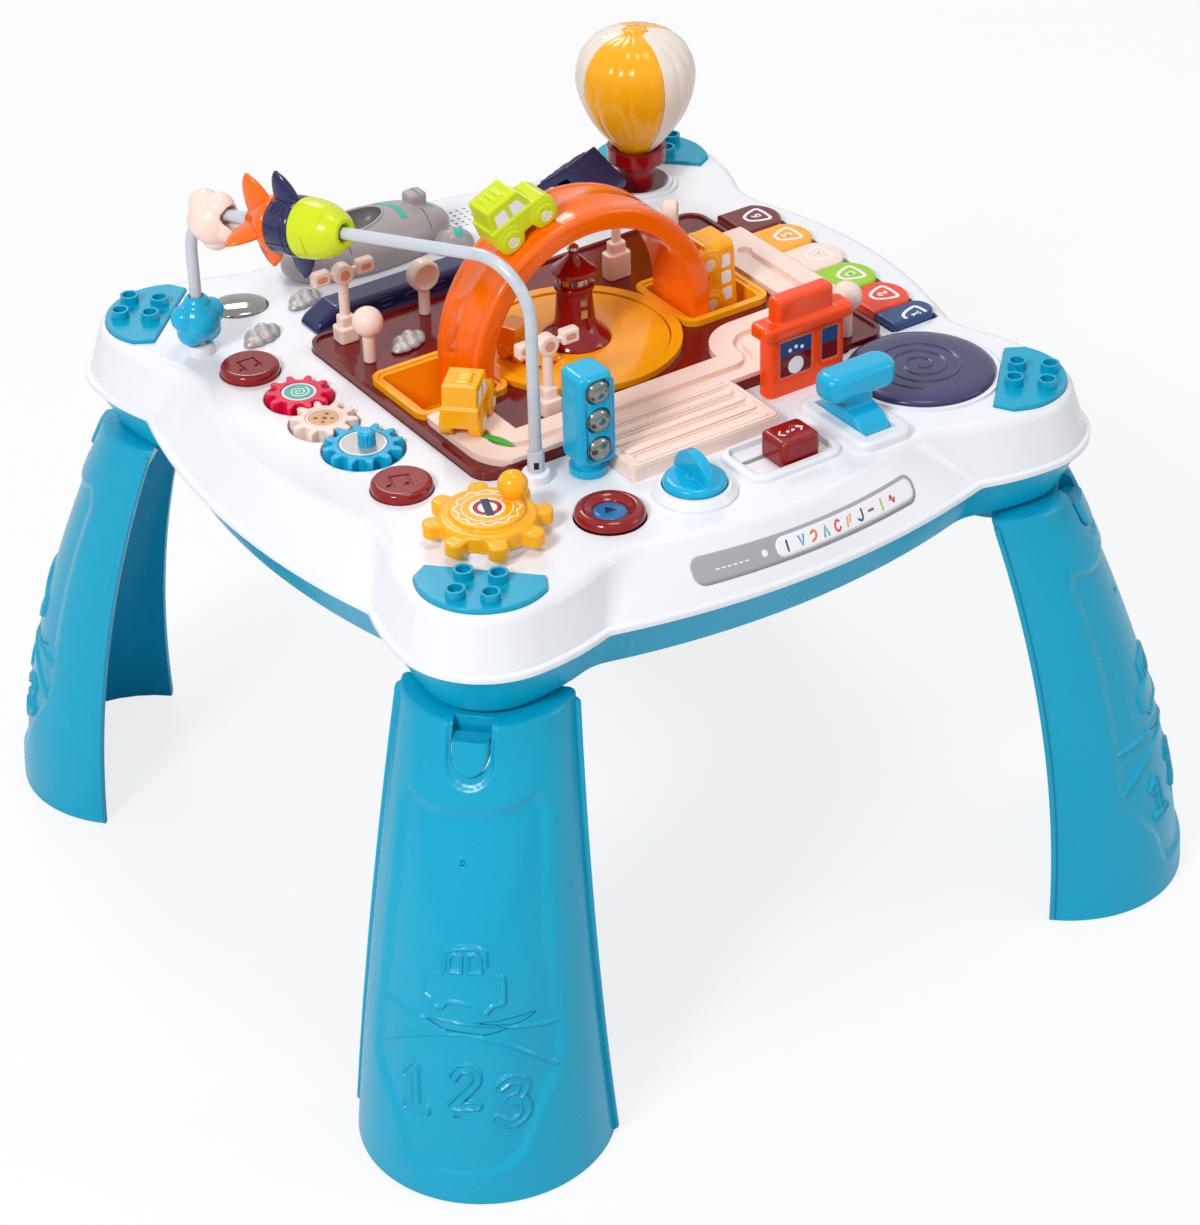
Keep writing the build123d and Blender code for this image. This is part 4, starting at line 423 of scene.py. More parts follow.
def setStage():
    view = {"azimuth": -33.086, "elevation": 33.565, "distance": 1.76978, "aim": 0.120736,
            "focalPixels": 3369.8, "centre": (583.23, 616.13), "roll": -1.582,
            "frame": (1200, 1225)}
    az, el, roll = (radians(view[k]) for k in ("azimuth", "elevation", "roll"))
    back = Vector((sin(az) * cos(el), -cos(az) * cos(el), sin(el)))
    right = Vector((cos(az), sin(az), 0))
    up = back.cross(right)
    across = right * cos(roll) + up * sin(roll)
    upright = up * cos(roll) - right * sin(roll)
    data = bpy.data.cameras.new("camera")
    camera = bpy.data.objects.new("camera", data)
    bpy.context.collection.objects.link(camera)
    camera.matrix_world = Matrix((across, upright, back)).transposed().to_4x4()
    camera.location = Vector((0, 0, view["aim"])) + back * view["distance"]
    longSide = max(view["frame"])
    data.sensor_width = 36.0
    data.lens = view["focalPixels"] / longSide * data.sensor_width
    data.shift_x = (view["frame"][0] / 2 - view["centre"][0]) / longSide
    data.shift_y = (view["centre"][1] - view["frame"][1] / 2) / longSide
    bpy.context.scene.camera = camera
    bpy.context.scene.view_settings.view_transform = "Standard"

    lamps = [("keyLamp", (-1.9, -0.9, 1.9), 0.55, 38.0), ("fillLamp", (1.9, -1.6, 1.3), 0.9, 8.0),
             ("backLamp", (0.7, 2.0, 2.2), 0.7, 15.0), ("topLamp", (0.2, -0.2, 2.8), 0.7, 15.0)]
    for name, spot, size, power in lamps:
        light = bpy.data.lights.new(name, "AREA")
        light.shape = "SQUARE"
        light.size = size
        light.energy = power
        lamp = bpy.data.objects.new(name, light)
        bpy.context.collection.objects.link(lamp)
        lamp.location = spot
        aim = Vector((0, 0, 0.2)) - lamp.location
        lamp.rotation_euler = aim.to_track_quat("-Z", "Y").to_euler()

    world = bpy.data.worlds.new("studio")
    world.use_nodes = True
    bpy.context.scene.world = world
    sky = Tree(world.node_tree)
    sky.add("ShaderNodeLightPath")
    direct = [sky.pick(k) for k in ("Is Camera Ray", "Is Glossy Ray", "Is Transmission Ray")]
    shown = direct[0].largest(direct[1]).largest(direct[2])
    soft = sky.add("ShaderNodeBackground", {}, {"Color": (0.96, 0.98, 1, 1), "Strength": 0.36})
    plain = sky.add("ShaderNodeBackground", {}, {"Color": (1, 1, 1, 1), "Strength": 0.97})
    both = sky.add("ShaderNodeMixShader", {}, {0: shown, 1: soft, 2: plain})
    sky.add("ShaderNodeOutputWorld", {}, {"Surface": both})

    size = 9000
    floorMesh = meshFrom("floor", [(-size, -size, 0), (size, -size, 0), (size, size, 0),
                                   (-size, size, 0)], [[0, 1, 2, 3]])
    finish = Finish("floorPaper", 0.9)
    grain = finish.noise(3.0, 4.0)
    finish.set("Base Color", finish.mix(grain, seen("#F8F8F9"), seen("#F4F5F6")))
    finish.set("Specular IOR Level", 0.1)
    finish.tree.add("ShaderNodeLightPath")
    looked = finish.tree.pick("Is Camera Ray") * 0.8
    paper = finish.tree.add("ShaderNodeEmission", {}, {"Color": (1, 1, 1, 1), "Strength": 1.0})
    both = finish.tree.add("ShaderNodeMixShader", {}, {0: looked, 1: finish.shader, 2: paper})
    output = next(n for n in finish.tree.tree.nodes if n.type == "OUTPUT_MATERIAL")
    finish.tree.tree.links.new(both.socket, output.inputs["Surface"])
    floor = bpy.data.objects.new("floor", floorMesh)
    floor.data.materials.append(finish.material)
    bpy.context.collection.objects.link(floor)
    floor.location.z = -0.0004


setStage()
print("stage set")

leg = {
    "height": 226.0, "backFoot": 254.7, "backTop": 213.0, "frontFoot": 318.5, "frontTop": 249.5,
    "halfFoot": 62.5, "halfTop": 40.5, "wall": 2.6, "block": 10.0, "corner": 2.6,
    "panelDepth": 2.3, "panelEdge": 4.2, "reliefRise": 1.7, "scoopGrow": 2.0, "scoopDrop": 4.6,
    "scoopDepth": 1.6, "latchProud": 1.3, "latchGap": 0.55,
    "diagonal": 211.42, "shoulder": 219.0, "collar": 27.9, "spigot": 23.0, "spigotWall": 2.5,
    "spigotTop": 238.0, "latchHalf": 9.1, "latchLow": 203.4, "latchDepth": 7.0,
    "latchTravel": 2.5,
    "lipLow": 0.4, "lipHigh": 222.5, "lipWide": 2.4, "lipDeep": 2.6,
}


def legBack(t):
    return leg["backFoot"] - (leg["backFoot"] - leg["backTop"]) * t ** 2


def legFront(t):
    return leg["frontFoot"] - (leg["frontFoot"] - leg["frontTop"]) * t ** 1.6


def legHalf(t):
    return leg["halfFoot"] - (leg["halfFoot"] - leg["halfTop"]) * t


def ease(value, low, high):
    share = np.clip((value - low) / (high - low), 0.0, 1.0)
    return share * share * (3 - 2 * share)


def lineDistance(u, z, points, closed=False):
    # distance to a run of straight pieces
    best = np.full(u.shape, 1e9)
    pairs = list(zip(points, points[1:])) + ([(points[-1], points[0])] if closed else [])
    for (ax, ay), (bx, by) in pairs:
        dx, dy = bx - ax, by - ay
        share = np.clip(((u - ax) * dx + (z - ay) * dy) / (dx * dx + dy * dy + 1e-9), 0, 1)
        best = np.minimum(best, np.hypot(u - ax - share * dx, z - ay - share * dy))
    return best


def areaDistance(u, z, points):
    # distance to a closed outline, negative inside it
    inside = np.zeros(u.shape, bool)
    for (ax, ay), (bx, by) in zip(points, points[1:] + points[:1]):
        if abs(by - ay) > 1e-9:
            inside ^= ((ay > z) != (by > z)) & (u < (bx - ax) * (z - ay) / (by - ay) + ax)
    edge = lineDistance(u, z, points, True)
    return np.where(inside, -edge, edge)


def bowed(points, steps=5):
    # a smooth run through the points
    run = []
    padded = [points[0]] + list(points) + [points[-1]]
    for a, b, c, d in zip(padded, padded[1:], padded[2:], padded[3:]):
        for i in range(steps):
            t = i / steps
            run.append(tuple(0.5 * (2 * b[k] + (c[k] - a[k]) * t
                                    + (2 * a[k] - 5 * b[k] + 4 * c[k] - d[k]) * t * t
                                    + (3 * b[k] - a[k] - 3 * c[k] + d[k]) * t ** 3)
                             for k in range(len(b))))
    return run + [tuple(points[-1])]


# outlines of the moulded picture, across and up the leg's face
legPanel = (bowed([(-31, 192.5), (-16, 189.5), (2, 191.0), (17, 191.5), (31, 195.5)])
            + bowed([(36, 186), (38.5, 150), (41.5, 115), (44.5, 88), (45, 66), (36, 42), (31, 26),
                     (20, 18), (0, 15.5), (-17, 15.5), (-27, 19), (-31, 34), (-38, 48), (-44.5, 62),
                     (-43.5, 82), (-40, 115), (-36.5, 150), (-34.5, 184)]))
legCar = bowed([(-19, 104.5), (-18.5, 113), (-12.5, 116.5), (-9, 118), (-7.2, 128), (10.2, 129.5),
                (13, 119.5), (20, 115.5), (21, 107), (20.5, 103), (15.5, 101.6), (12.5, 98.6),
                (8.5, 100.6), (6, 102.6), (-5, 103), (-8, 100.2), (-12, 99.6), (-14.8, 102.8)], 4)
legPanes = [[(-5.6, 118), (-5.4, 124.5), (-3.2, 126.4), (0.4, 126.0), (0.6, 118)],
            [(3.6, 118), (3.4, 126.2), (7.2, 127), (9.4, 124.4), (10, 118.4)]]
legLines = [bowed([(-40, 91.5), (-20, 93.5), (4, 93.0), (24, 91.0), (42, 87)]),
            bowed([(-43, 68), (-28, 80), (-12, 86.5), (3, 88.5), (20, 84), (33, 75.5), (43, 66)])]
legDip = bowed([(-19, 94), (-10, 90), (8, 87.5), (25, 90.5), (35, 95), (8, 94), (-18, 94.6)], 4)
legDigits = [
    [[(-26.5, 62.0), (-22.5, 67.0), (-21.5, 46)], [(-26.5, 45.4), (-16.5, 46.6)]],
    [bowed([(-2.5, 67.5), (1, 72), (7, 71.5), (8.5, 66), (2, 58.5), (-3, 52.6)], 4),
     [(-3, 52.6), (9, 53.6)]],
    [bowed([(19.5, 62.5), (24.5, 65.5), (30, 62.5), (28.4, 57), (24, 55.8)], 4),
     bowed([(24, 55.8), (30, 53), (30.6, 46.6), (24.6, 42.8), (18.4, 46.4)], 4)]]


def legRelief(u, z):
    # height of the moulded picture over the plain wall
    panel = areaDistance(u, z, legPanel)
    level = -leg["panelDepth"] * (1 - ease(panel, -leg["panelEdge"], 0.8))
    car = areaDistance(u, z, legCar)
    rise = leg["reliefRise"]
    level = level + rise * (1 - ease(car, -0.2, 0.6)) - rise * 0.5 * (1 - ease(car, -2.0, -1.3))
    for pane in legPanes:
        level = level + rise * 0.6 * (1 - ease(np.abs(areaDistance(u, z, pane)), 0.35, 0.95))
    for line in legLines:
        level = level + rise * 0.8 * (1 - ease(lineDistance(u, z, line), 0.3, 1.2))
    level = level - 1.3 * (1 - ease(areaDistance(u, z, legDip), -1.6, 0.5))
    for strokes in legDigits:
        stroke = np.minimum.reduce([lineDistance(u, z, run) for run in strokes])
        level = (level + rise * (1 - ease(stroke, 2.1, 2.8))
                 - rise * 0.6 * (1 - ease(stroke, 1.0, 1.6)))
    scoop = areaDistance(u, z, stadiumOutline(leg["latchHalf"] + leg["scoopGrow"],
                                              leg["latchLow"] - leg["scoopDrop"], 260.0))
    level = level - leg["scoopDepth"] * (1 - ease(scoop, -0.9, 0.7))
    for spot in ((-1, 166), (-1, 47)):
        away = np.hypot(u - spot[0], z - spot[1])
        level = level + 0.3 * (1 - ease(np.abs(away - 1.9), 0.2, 0.6)) - 1.4 * (
            1 - ease(away, 0.5, 1.2))
    return level


def steppedValues(stops):
    # (value, step) stops turned to one run of values, four cells at a time
    values = [stops[0][0]]
    for (low, step), (high, _) in zip(stops, stops[1:]):
        count = max(1, round(abs(high - low) / step / 4)) * 4
        values += list(np.linspace(low, high, count + 1)[1:])
    return np.array(values)


def legSkin():
    # outer wall with its relief, inner wall, rims and top as one closed skin
    rows = steppedValues([(0, 1.2), (12, 0.9), (36, 0.5), (132, 1.6), (182, 1.0), (200, 1.3),
                          (leg["height"] - leg["block"], 0.7), (leg["height"], 0.7)])
    columns = steppedValues([(-pi / 2, 0.045), (-0.92, 0.022), (-0.68, 0.009), (0.68, 0.022),
                             (0.92, 0.045), (pi / 2, 1)])
    theta, height = np.meshgrid(columns, rows)
    t = height / leg["height"]
    half, depth = legHalf(t), legFront(t) - legBack(t)
    u = half * np.sin(theta)
    near = np.clip((leg["height"] - height) / leg["corner"], 0, 1)
    inset = leg["corner"] * (1 - np.sqrt(np.clip(1 - (1 - near) ** 2, 0, 1)))
    level = legRelief(u, height) - inset
    nx, ny = half * np.cos(theta), depth * np.sin(theta)
    size = np.hypot(nx, ny)
    outer = np.stack([legBack(t) + depth * np.cos(theta) + nx / size * level,
                      u + ny / size * level, height], -1)
    ceiling = len(steppedValues([(0, 1.2), (12, 0.9), (36, 0.5), (132, 1.6), (182, 1.0), (200, 1.3),
                                 (leg["height"] - leg["block"], 0.7)]))
    back = legBack(t[:ceiling:4, ::4])
    inner = np.stack([back + (depth[:ceiling:4, ::4] - leg["wall"])
                      * np.cos(theta[:ceiling:4, ::4]),
                      (half[:ceiling:4, ::4] - leg["wall"]) * np.sin(theta[:ceiling:4, ::4]),
                      height[:ceiling:4, ::4]], -1)
    high, wide = outer.shape[:2]
    low, slim = inner.shape[:2]
    start = high * wide
    points = list(outer.reshape(-1, 3)) + list(inner.reshape(-1, 3))
    at = np.arange(start).reshape(high, wide)
    inn = start + np.arange(low * slim).reshape(low, slim)
    faces = [[at[i, j], at[i, j + 1], at[i + 1, j + 1], at[i + 1, j]]
             for i in range(high - 1) for j in range(wide - 1)]
    faces += [[inn[i, j], inn[i + 1, j], inn[i + 1, j + 1], inn[i, j + 1]]
              for i in range(low - 1) for j in range(slim - 1)]
    faces += [list(at[0, 4 * j:4 * j + 5][::-1]) + [inn[0, j], inn[0, j + 1]]
              for j in range(slim - 1)]
    for i in range(low - 1):
        faces.append(list(at[4 * i:4 * i + 5, 0]) + [inn[i + 1, 0], inn[i, 0]])
        faces.append(list(at[4 * i:4 * i + 5, -1][::-1]) + [inn[i, -1], inn[i + 1, -1]])
    faces.append(list(inn[-1][::-1]))
    faces.append(list(at[-1]))
    faces.append(list(at[ceiling - 1:, 0]) + list(at[ceiling - 1:, -1][::-1])
                 + [inn[-1, -1], inn[-1, 0]])
    return meshFrom("legSkin", points, [[int(k) for k in face] for face in faces])


def cutBy(mesh, cutter, operation="DIFFERENCE"):
    first = bpy.data.objects.new("first", mesh)
    second = bpy.data.objects.new("second", cutter)
    for one in (first, second):
        bpy.context.collection.objects.link(one)
    cut = first.modifiers.new("cut", "BOOLEAN")
    cut.operation = operation
    cut.solver = "EXACT"
    cut.object = second
    result = baked(first)
    for one in (first, second):
        bpy.data.objects.remove(one)
    return result


def lipMesh(side):
    # outward lip along one open edge, rounded off at both ends
    points, faces = [], []
    levels = np.concatenate([leg["lipLow"] + 2.4 * (1 - np.cos(np.linspace(0, pi / 2, 7))),
                             np.linspace(leg["lipLow"] + 6, leg["lipHigh"] - 5, 36),
                             leg["lipHigh"] - 2.4 * (1 - np.cos(np.linspace(pi / 2, 0, 7)))])
    for z in levels:
        end = min(z - leg["lipLow"], leg["lipHigh"] - z, 2.4) / 2.4
        swell = sqrt(max(0.0, 1 - (1 - end) ** 2)) * 0.94 + 0.06
        t = z / leg["height"]
        x0, y0 = legBack(t) + 0.05, legHalf(t) - 1.2
        wide, deep = (leg["lipWide"] + 1.2) * swell, leg["lipDeep"]
        ring = [(0, 0), (deep, 0), (deep, wide - 0.7), (deep - 0.7, wide), (0.7, wide),
                (0, wide - 0.7)]
        points += [(x0 + a, side * (y0 + b), z) for a, b in ring]
    count = 6
    for i in range(len(levels) - 1):
        for j in range(count):
            k = (j + 1) % count
            faces.append([i * count + j, i * count + k, (i + 1) * count + k, (i + 1) * count + j])
    faces += [list(range(count)), list(range(len(points) - count, len(points)))]
    return tidyNormals(meshFrom("lip", points, faces))


def stadiumOutline(half, low, high, steps=20):
    # upright tab with a round lower end, as (across, up) points
    middle = low + half
    return [(half * cos(pi + pi * i / steps), middle + half * sin(pi + pi * i / steps))
            for i in range(steps + 1)] + [(half, high), (-half, high)]


def sharpened(mesh, angle=34):
    mesh.shade_smooth()
    mesh.set_sharp_from_angle(angle=radians(angle))
    return mesh


def latchMesh():
    # tab that follows the leg's face, a little proud, with rounded edges
    half, low, high = leg["latchHalf"] - leg["latchGap"], leg["latchLow"] + leg["latchGap"], 219.2
    back = leg["frontTop"] - leg["latchDepth"] + leg["latchTravel"]
    columns, rows = 36, 36
    points, faces = [], []
    for i in range(columns + 1):
        u = half * sin(pi / 2 * (-0.996 + 1.992 * i / columns))
        bottom = low + half - sqrt(max(0.0, half * half - u * u))
        for j in range(rows + 1):
            z = bottom + (high - bottom) * j / rows
            t = z / leg["height"]
            face = legBack(t) + (legFront(t) - legBack(t)) * sqrt(1 - (u / legHalf(t)) ** 2)
            centre = low + half
            edge = half - hypot(u, z - centre) if z < centre else half - abs(u)
            near = min(1.0, max(0.0, edge) / 2.2)
            bulge = leg["latchProud"] - 2.2 * (1 - sqrt(1 - (1 - near) ** 2))
            points += [(face + bulge, u, z), (back, u, z)]
    stride = 2 * (rows + 1)
    for i in range(columns):
        for j in range(rows):
            a, b = i * stride + 2 * j, (i + 1) * stride + 2 * j
            faces += [[a, b, b + 2, a + 2], [a + 1, a + 3, b + 3, b + 1]]
        top = stride - 2
        faces += [[i * stride, i * stride + 1, (i + 1) * stride + 1, (i + 1) * stride],
                  [i * stride + top, (i + 1) * stride + top, (i + 1) * stride + top + 1,
                   i * stride + top + 1]]
    for base in (0, columns * stride):
        faces.append([base + 2 * j for j in range(rows + 1)]
                     + [base + 2 * j + 1 for j in range(rows, -1, -1)])
    return sharpened(tidyNormals(meshFrom("latch", points, faces)), 50)


def makeLegs():
    skin = legSkin()
    disc = latheMesh("collarRoom", [(0, leg["shoulder"]), (leg["collar"], leg["shoulder"]),
                                    (leg["collar"], 240), (0, 240)], 96,
                     Matrix.Translation((leg["diagonal"], 0, 0)))
    skin = cutBy(skin, disc)
    reach = leg["frontTop"] + 6
    toFace = Matrix(((0, 0, 1, 0), (1, 0, 0, 0), (0, 1, 0, 0), (0, 0, 0, 1)))
    outline = stadiumOutline(leg["latchHalf"], leg["latchLow"], 230.0)
    pocket = prismMesh("latchRoom", outline, leg["frontTop"] - leg["latchDepth"], reach + 8, toFace)
    skin = cutBy(skin, pocket)
    outer, inner = leg["spigot"], leg["spigot"] - leg["spigotWall"]
    spigot = latheMesh("spigot", [(inner, leg["shoulder"] - 2), (outer, leg["shoulder"] - 2),
                                  (outer, leg["spigotTop"] - 1.2), (outer - 1.2, leg["spigotTop"]),
                                  (inner, leg["spigotTop"]), (inner, leg["shoulder"] - 2)], 72,
                       Matrix.Translation((leg["diagonal"], 0, 0)))
    whole = sharpened(joined([skin, spigot, lipMesh(-1), lipMesh(1)], "legWhole"))
    for name, turn in (("front_left", 225), ("front_right", 315), ("back_right", 45),
                       ("back_left", 135)):
        mesh = whole.copy()
        mesh.transform(Matrix.Rotation(radians(turn), 4, "Z"))
        makePiece(f"leg_{name}_moulding", mesh, paint["teal"], "table",
                  [f"leg_{name}"])
        tab = latchMesh()
        tab.transform(Matrix.Rotation(radians(turn), 4, "Z"))
        makePiece(f"latch_{name}_tab", tab, paint["teal"], bodyOf[f"latch_{name}"],
                  [f"latch_{name}"])
    bpy.data.meshes.remove(whole)


makeLegs()
print("legs moulded")

def put(x=0, y=0, z=0, turn=0, tilt=0, axis="X"):
    # a place in millimetres: moved, turned about z, then tilted about its own axis
    return (Matrix.Translation((x, y, z)) @ Matrix.Rotation(radians(turn), 4, "Z")
            @ Matrix.Rotation(radians(tilt), 4, axis))


# stands a flat outline upright, its y along z
standing = Matrix(((1, 0, 0, 0), (0, 0, -1, 0), (0, 1, 0, 0), (0, 0, 0, 1)))


def roundedOutline(x0, x1, y0, y1, radius, steps=6):
    points = []
    for cx, cy, start in ((x1 - radius, y1 - radius, 0), (x0 + radius, y1 - radius, 90),
                          (x0 + radius, y0 + radius, 180), (x1 - radius, y0 + radius, 270)):
        for i in range(steps + 1):
            angle = radians(start + 90 * i / steps)
            points.append((cx + radius * cos(angle), cy + radius * sin(angle)))
    return points


def roundedBlock(x0, x1, y0, y1, low, high, radius, place=Matrix.Identity(4)):
    return prismMesh("block", roundedOutline(x0, x1, y0, y1, radius), low, high, place)


def strokeMesh(run, width, low, high, place=Matrix.Identity(4), closed=False, caps=5):
    # a band of even width along a flat run, with round ends
    run = [Vector((*p, 0)) for p in run]
    sides = []
    for i, p in enumerate(run):
        before = run[i - 1] if i or closed else p
        after = run[(i + 1) % len(run)] if i + 1 < len(run) or closed else p
        along = (after - before).normalized()
        sides.append(Vector((-along.y, along.x, 0)) * width / 2)
    rows = [(p + s, p - s) for p, s in zip(run, sides)]
    if not closed:
        first, last = [], []
        for k in range(1, caps):
            lean = pi / 2 * k / caps
            for store, p, s, sign in ((first, run[0], sides[0], 1), (last, run[-1], sides[-1], -1)):
                ahead = Vector((s.y, -s.x, 0)) * -sign
                store.append((p + s * cos(lean) + ahead * sin(lean),
                              p - s * cos(lean) + ahead * sin(lean)))
        rows = first[::-1] + rows + last
    points, faces = [], []
    for a, b in rows:
        for x, y, z in ((a.x, a.y, high), (b.x, b.y, high), (b.x, b.y, low), (a.x, a.y, low)):
            points.append(place @ Vector((x, y, z)))
    count = len(rows)
    for i in range(count if closed else count - 1):
        j = (i + 1) % count
        for k in range(4):
            m = (k + 1) % 4
            faces.append([4 * i + k, 4 * i + m, 4 * j + m, 4 * j + k])
    if not closed:
        faces += [[0, 1, 2, 3], [4 * count - 1, 4 * count - 2, 4 * count - 3, 4 * count - 4]]
    return tidyNormals(meshFrom("stroke", points, faces, False))


def spiralRun(outer, turns, inner=0.12, steps=16):
    count = int(turns * steps)
    return [((inner + (1 - inner) * i / count) * outer * cos(2 * pi * i / steps),
             (inner + (1 - inner) * i / count) * outer * sin(2 * pi * i / steps))
            for i in range(count + 1)]


def upright(place, side=1):
    # from a flat mark's plane to a car's side: x along, y up, z outwards
    turn = Matrix(((side, 0, 0, 0), (0, 0, -side, 0), (0, 1, 0, 0), (0, 0, 0, 1)))
    return place @ turn


car = {
    "length": 36.0, "width": 19.0, "height": 26.6, "belt": 15.6, "cabinBack": -16.4,
    "cabinFront": 4.6, "wheel": 5.4, "wheelOut": 1.1, "spread": 0.58, "voxel": 0.42, "rounds": 7,
}
busSize = {"length": 40.0, "width": 22.0, "height": 21.0}


def wheelPlaces(length, width):
    spread = length / 2 * car["spread"]
    return [(x, side * (width / 2 + car["wheelOut"]), side) for x in (-spread, spread)
            for side in (-1, 1)]


def carForm(kind):
    size = busSize if kind == "bus" else car
    length, width = size["length"], size["width"]
    half, wide = length / 2, width / 2
    if kind == "bus":
        parts = [roundedBlock(-half, half, -wide, wide, 4.2, size["height"], 4.0),
                 roundedBlock(-half - 0.8, half + 0.6, -wide + 1, wide - 1, 4.6, 9.0, 3.0),
                 roundedBlock(-half + 6, half - 8, -5, 5, size["height"] - 1, size["height"] + 1.4,
                              1.5)]
    else:
        cabin = [(car["cabinBack"] - 0.8, car["belt"] - 3), (car["cabinBack"] + 1.2, car["height"]),
                 (car["cabinFront"] - 1.2, car["height"]),
                 (car["cabinFront"] + 3.4, car["belt"] - 1)]
        nose = [(-half, 5.0), (-half, car["belt"]), (car["cabinFront"], car["belt"]),
                (half - 3.4, car["belt"] - 0.4), (half, car["belt"] - 4.6), (half, 5.0)]
        parts = [prismMesh("cabin", cabin, -wide + 0.9, wide - 0.9, standing),
                 prismMesh("lower", nose, -wide, wide, standing)]
        roof = car["height"]
        for x in (-11.5, -8.0, -4.5):
            parts.append(roundedBlock(x, x + 1.6, -4.6, 4.6, roof - 1, roof + 1.3, 0.6))
        for y in (-4.4, 3.2):
            parts.append(roundedBlock(-12.4, -1.8, y, y + 1.2, roof - 1, roof + 1.1, 0.5))
    for x, y, side in wheelPlaces(length, width):
        arch = put(x, 0, car["wheel"] + 0.4, 0, 90)
        near, far = sorted((-side * (wide - 5.5), -side * (wide + 0.5)))
        parts.append(prismMesh("guard", [(7.4 * cos(a), 7.4 * sin(a)) for a in
                                         np.linspace(0, 2 * pi, 40, endpoint=False)],
                               near, far, arch))
        near, far = sorted((-side * (wide - 4.0), -y))
        parts.append(prismMesh("tyre", [(car["wheel"] * cos(a), car["wheel"] * sin(a)) for a in
                                        np.linspace(0, 2 * pi, 40, endpoint=False)],
                               near, far, put(x, 0, car["wheel"], 0, 90)))
    body = softened(joined(parts, "carBody"), car["voxel"], car["rounds"])
    bm = bmesh.new()
    bm.from_mesh(body)
    floor = bmesh.ops.bisect_plane(bm, geom=bm.verts[:] + bm.edges[:] + bm.faces[:],
                                   plane_co=(0, 0, 0.05 * mm), plane_no=(0, 0, -1),
                                   clear_outer=True)
    bmesh.ops.holes_fill(bm,
                         edges=[e for e in floor["geom_cut"] if isinstance(e, bmesh.types.BMEdge)])
    bm.to_mesh(body)
    bm.free()
    return body


def carMarks(kind, place):
    # windows and wheel spirals, a hair proud of the body
    size = busSize if kind == "bus" else car
    length, width = size["length"], size["width"]
    parts = []
    for side in (-1, 1):
        if kind == "bus":
            for x in (-13.5, -4.0, 5.5):
                outline = roundedOutline(x, x + 7.0, 12.2, 18.2, 1.2, 3)
                parts.append(prismMesh("pane", [(side * a, b) for a, b in outline], width / 2 - 0.5,
                                       width / 2 + 0.14, upright(place, side)))
        else:
            wide = width / 2 - 0.9
            for outline in ([(-13.6, 15.6), (-12.6, 22.6), (-6.0, 22.8), (-6.0, 15.6)],
                            [(-3.6, 15.6), (-3.6, 22.8), (1.6, 22.6), (4.6, 15.6)]):
                parts.append(prismMesh("pane", [(side * a, b) for a, b in outline], wide - 0.5,
                                       wide + 0.14, upright(place, side)))
    for x, y, side in wheelPlaces(length, width):
        spot = upright(place, side) @ Matrix.Translation((side * x, car["wheel"], abs(y)))
        parts.append(strokeMesh(spiralRun(3.1, 2.0), 0.8, -0.5, 0.16, spot))
    return joined(parts, kind + "Marks")


def placed(mesh, place):
    # a millimetre place applied to a mesh that is already in metres
    mesh.transform(Matrix.Diagonal((mm, mm, mm, 1)) @ place
                   @ Matrix.Diagonal((1 / mm, 1 / mm, 1 / mm, 1)))
    return mesh


def makeCar(node, kind, place, look):
    body = placed(carForm(kind), place)
    makePiece(node + "_shell", body, look, bodyOf[node], [node])
    makePiece(node + "_windows", carMarks(kind, place), paint["print"], bodyOf[node])


arch = {
    "outer": 70.3, "inner": 59.3, "half": 18.5, "centre": 293.0, "floor": 262.0,
    "wheelGap": 0.3, "greenAngle": -24.5, "busAngle": 86.0,
}


def onArch(kind, angle):
    size = busSize if kind == "bus" else car
    rail = arch["outer"] + arch["wheelGap"]
    spread = size["length"] / 2 * car["spread"]
    lift = sqrt((rail + car["wheel"]) ** 2 - spread ** 2) - car["wheel"]
    return put(0, 0, arch["centre"], 0, angle, "Y") @ Matrix.Translation((0, 0, lift))


makeCar("green_car", "car", onArch("car", arch["greenAngle"]), paint["lime"])
makeCar("bus", "bus", onArch("bus", arch["busAngle"]), paint["amber"])
makeCar("yellow_car", "car", put(-88.5, -40.0, 289.3, 45), paint["yellow"])
print("cars made")

# small toys with soft mouldings: node, finish, voxel, smoothing rounds
softToys = [
    ("station", "signOrange", 0.55, 4), ("throttle_lever", "cyan", 0.6, 6),
    ("slider_block", "deepRed", 0.4, 7), ("submarine", "grey", 0.55, 3), ("train", "navy", 0.55, 9),
    ("turntable_car", "amber", 0.45, 4), ("street_posts", "peach", 0.45, 4),
    ("cloud_bead", "peach", 0.5, 10), ("blue_bead", "cyan", 0.5, 8),
    ("crank_wheel", "yellow", 0.55, 5),
]
for node, look, voxel, rounds in softToys:
    softPiece(node, paint[look], voxel, rounds)
print("toys softened")

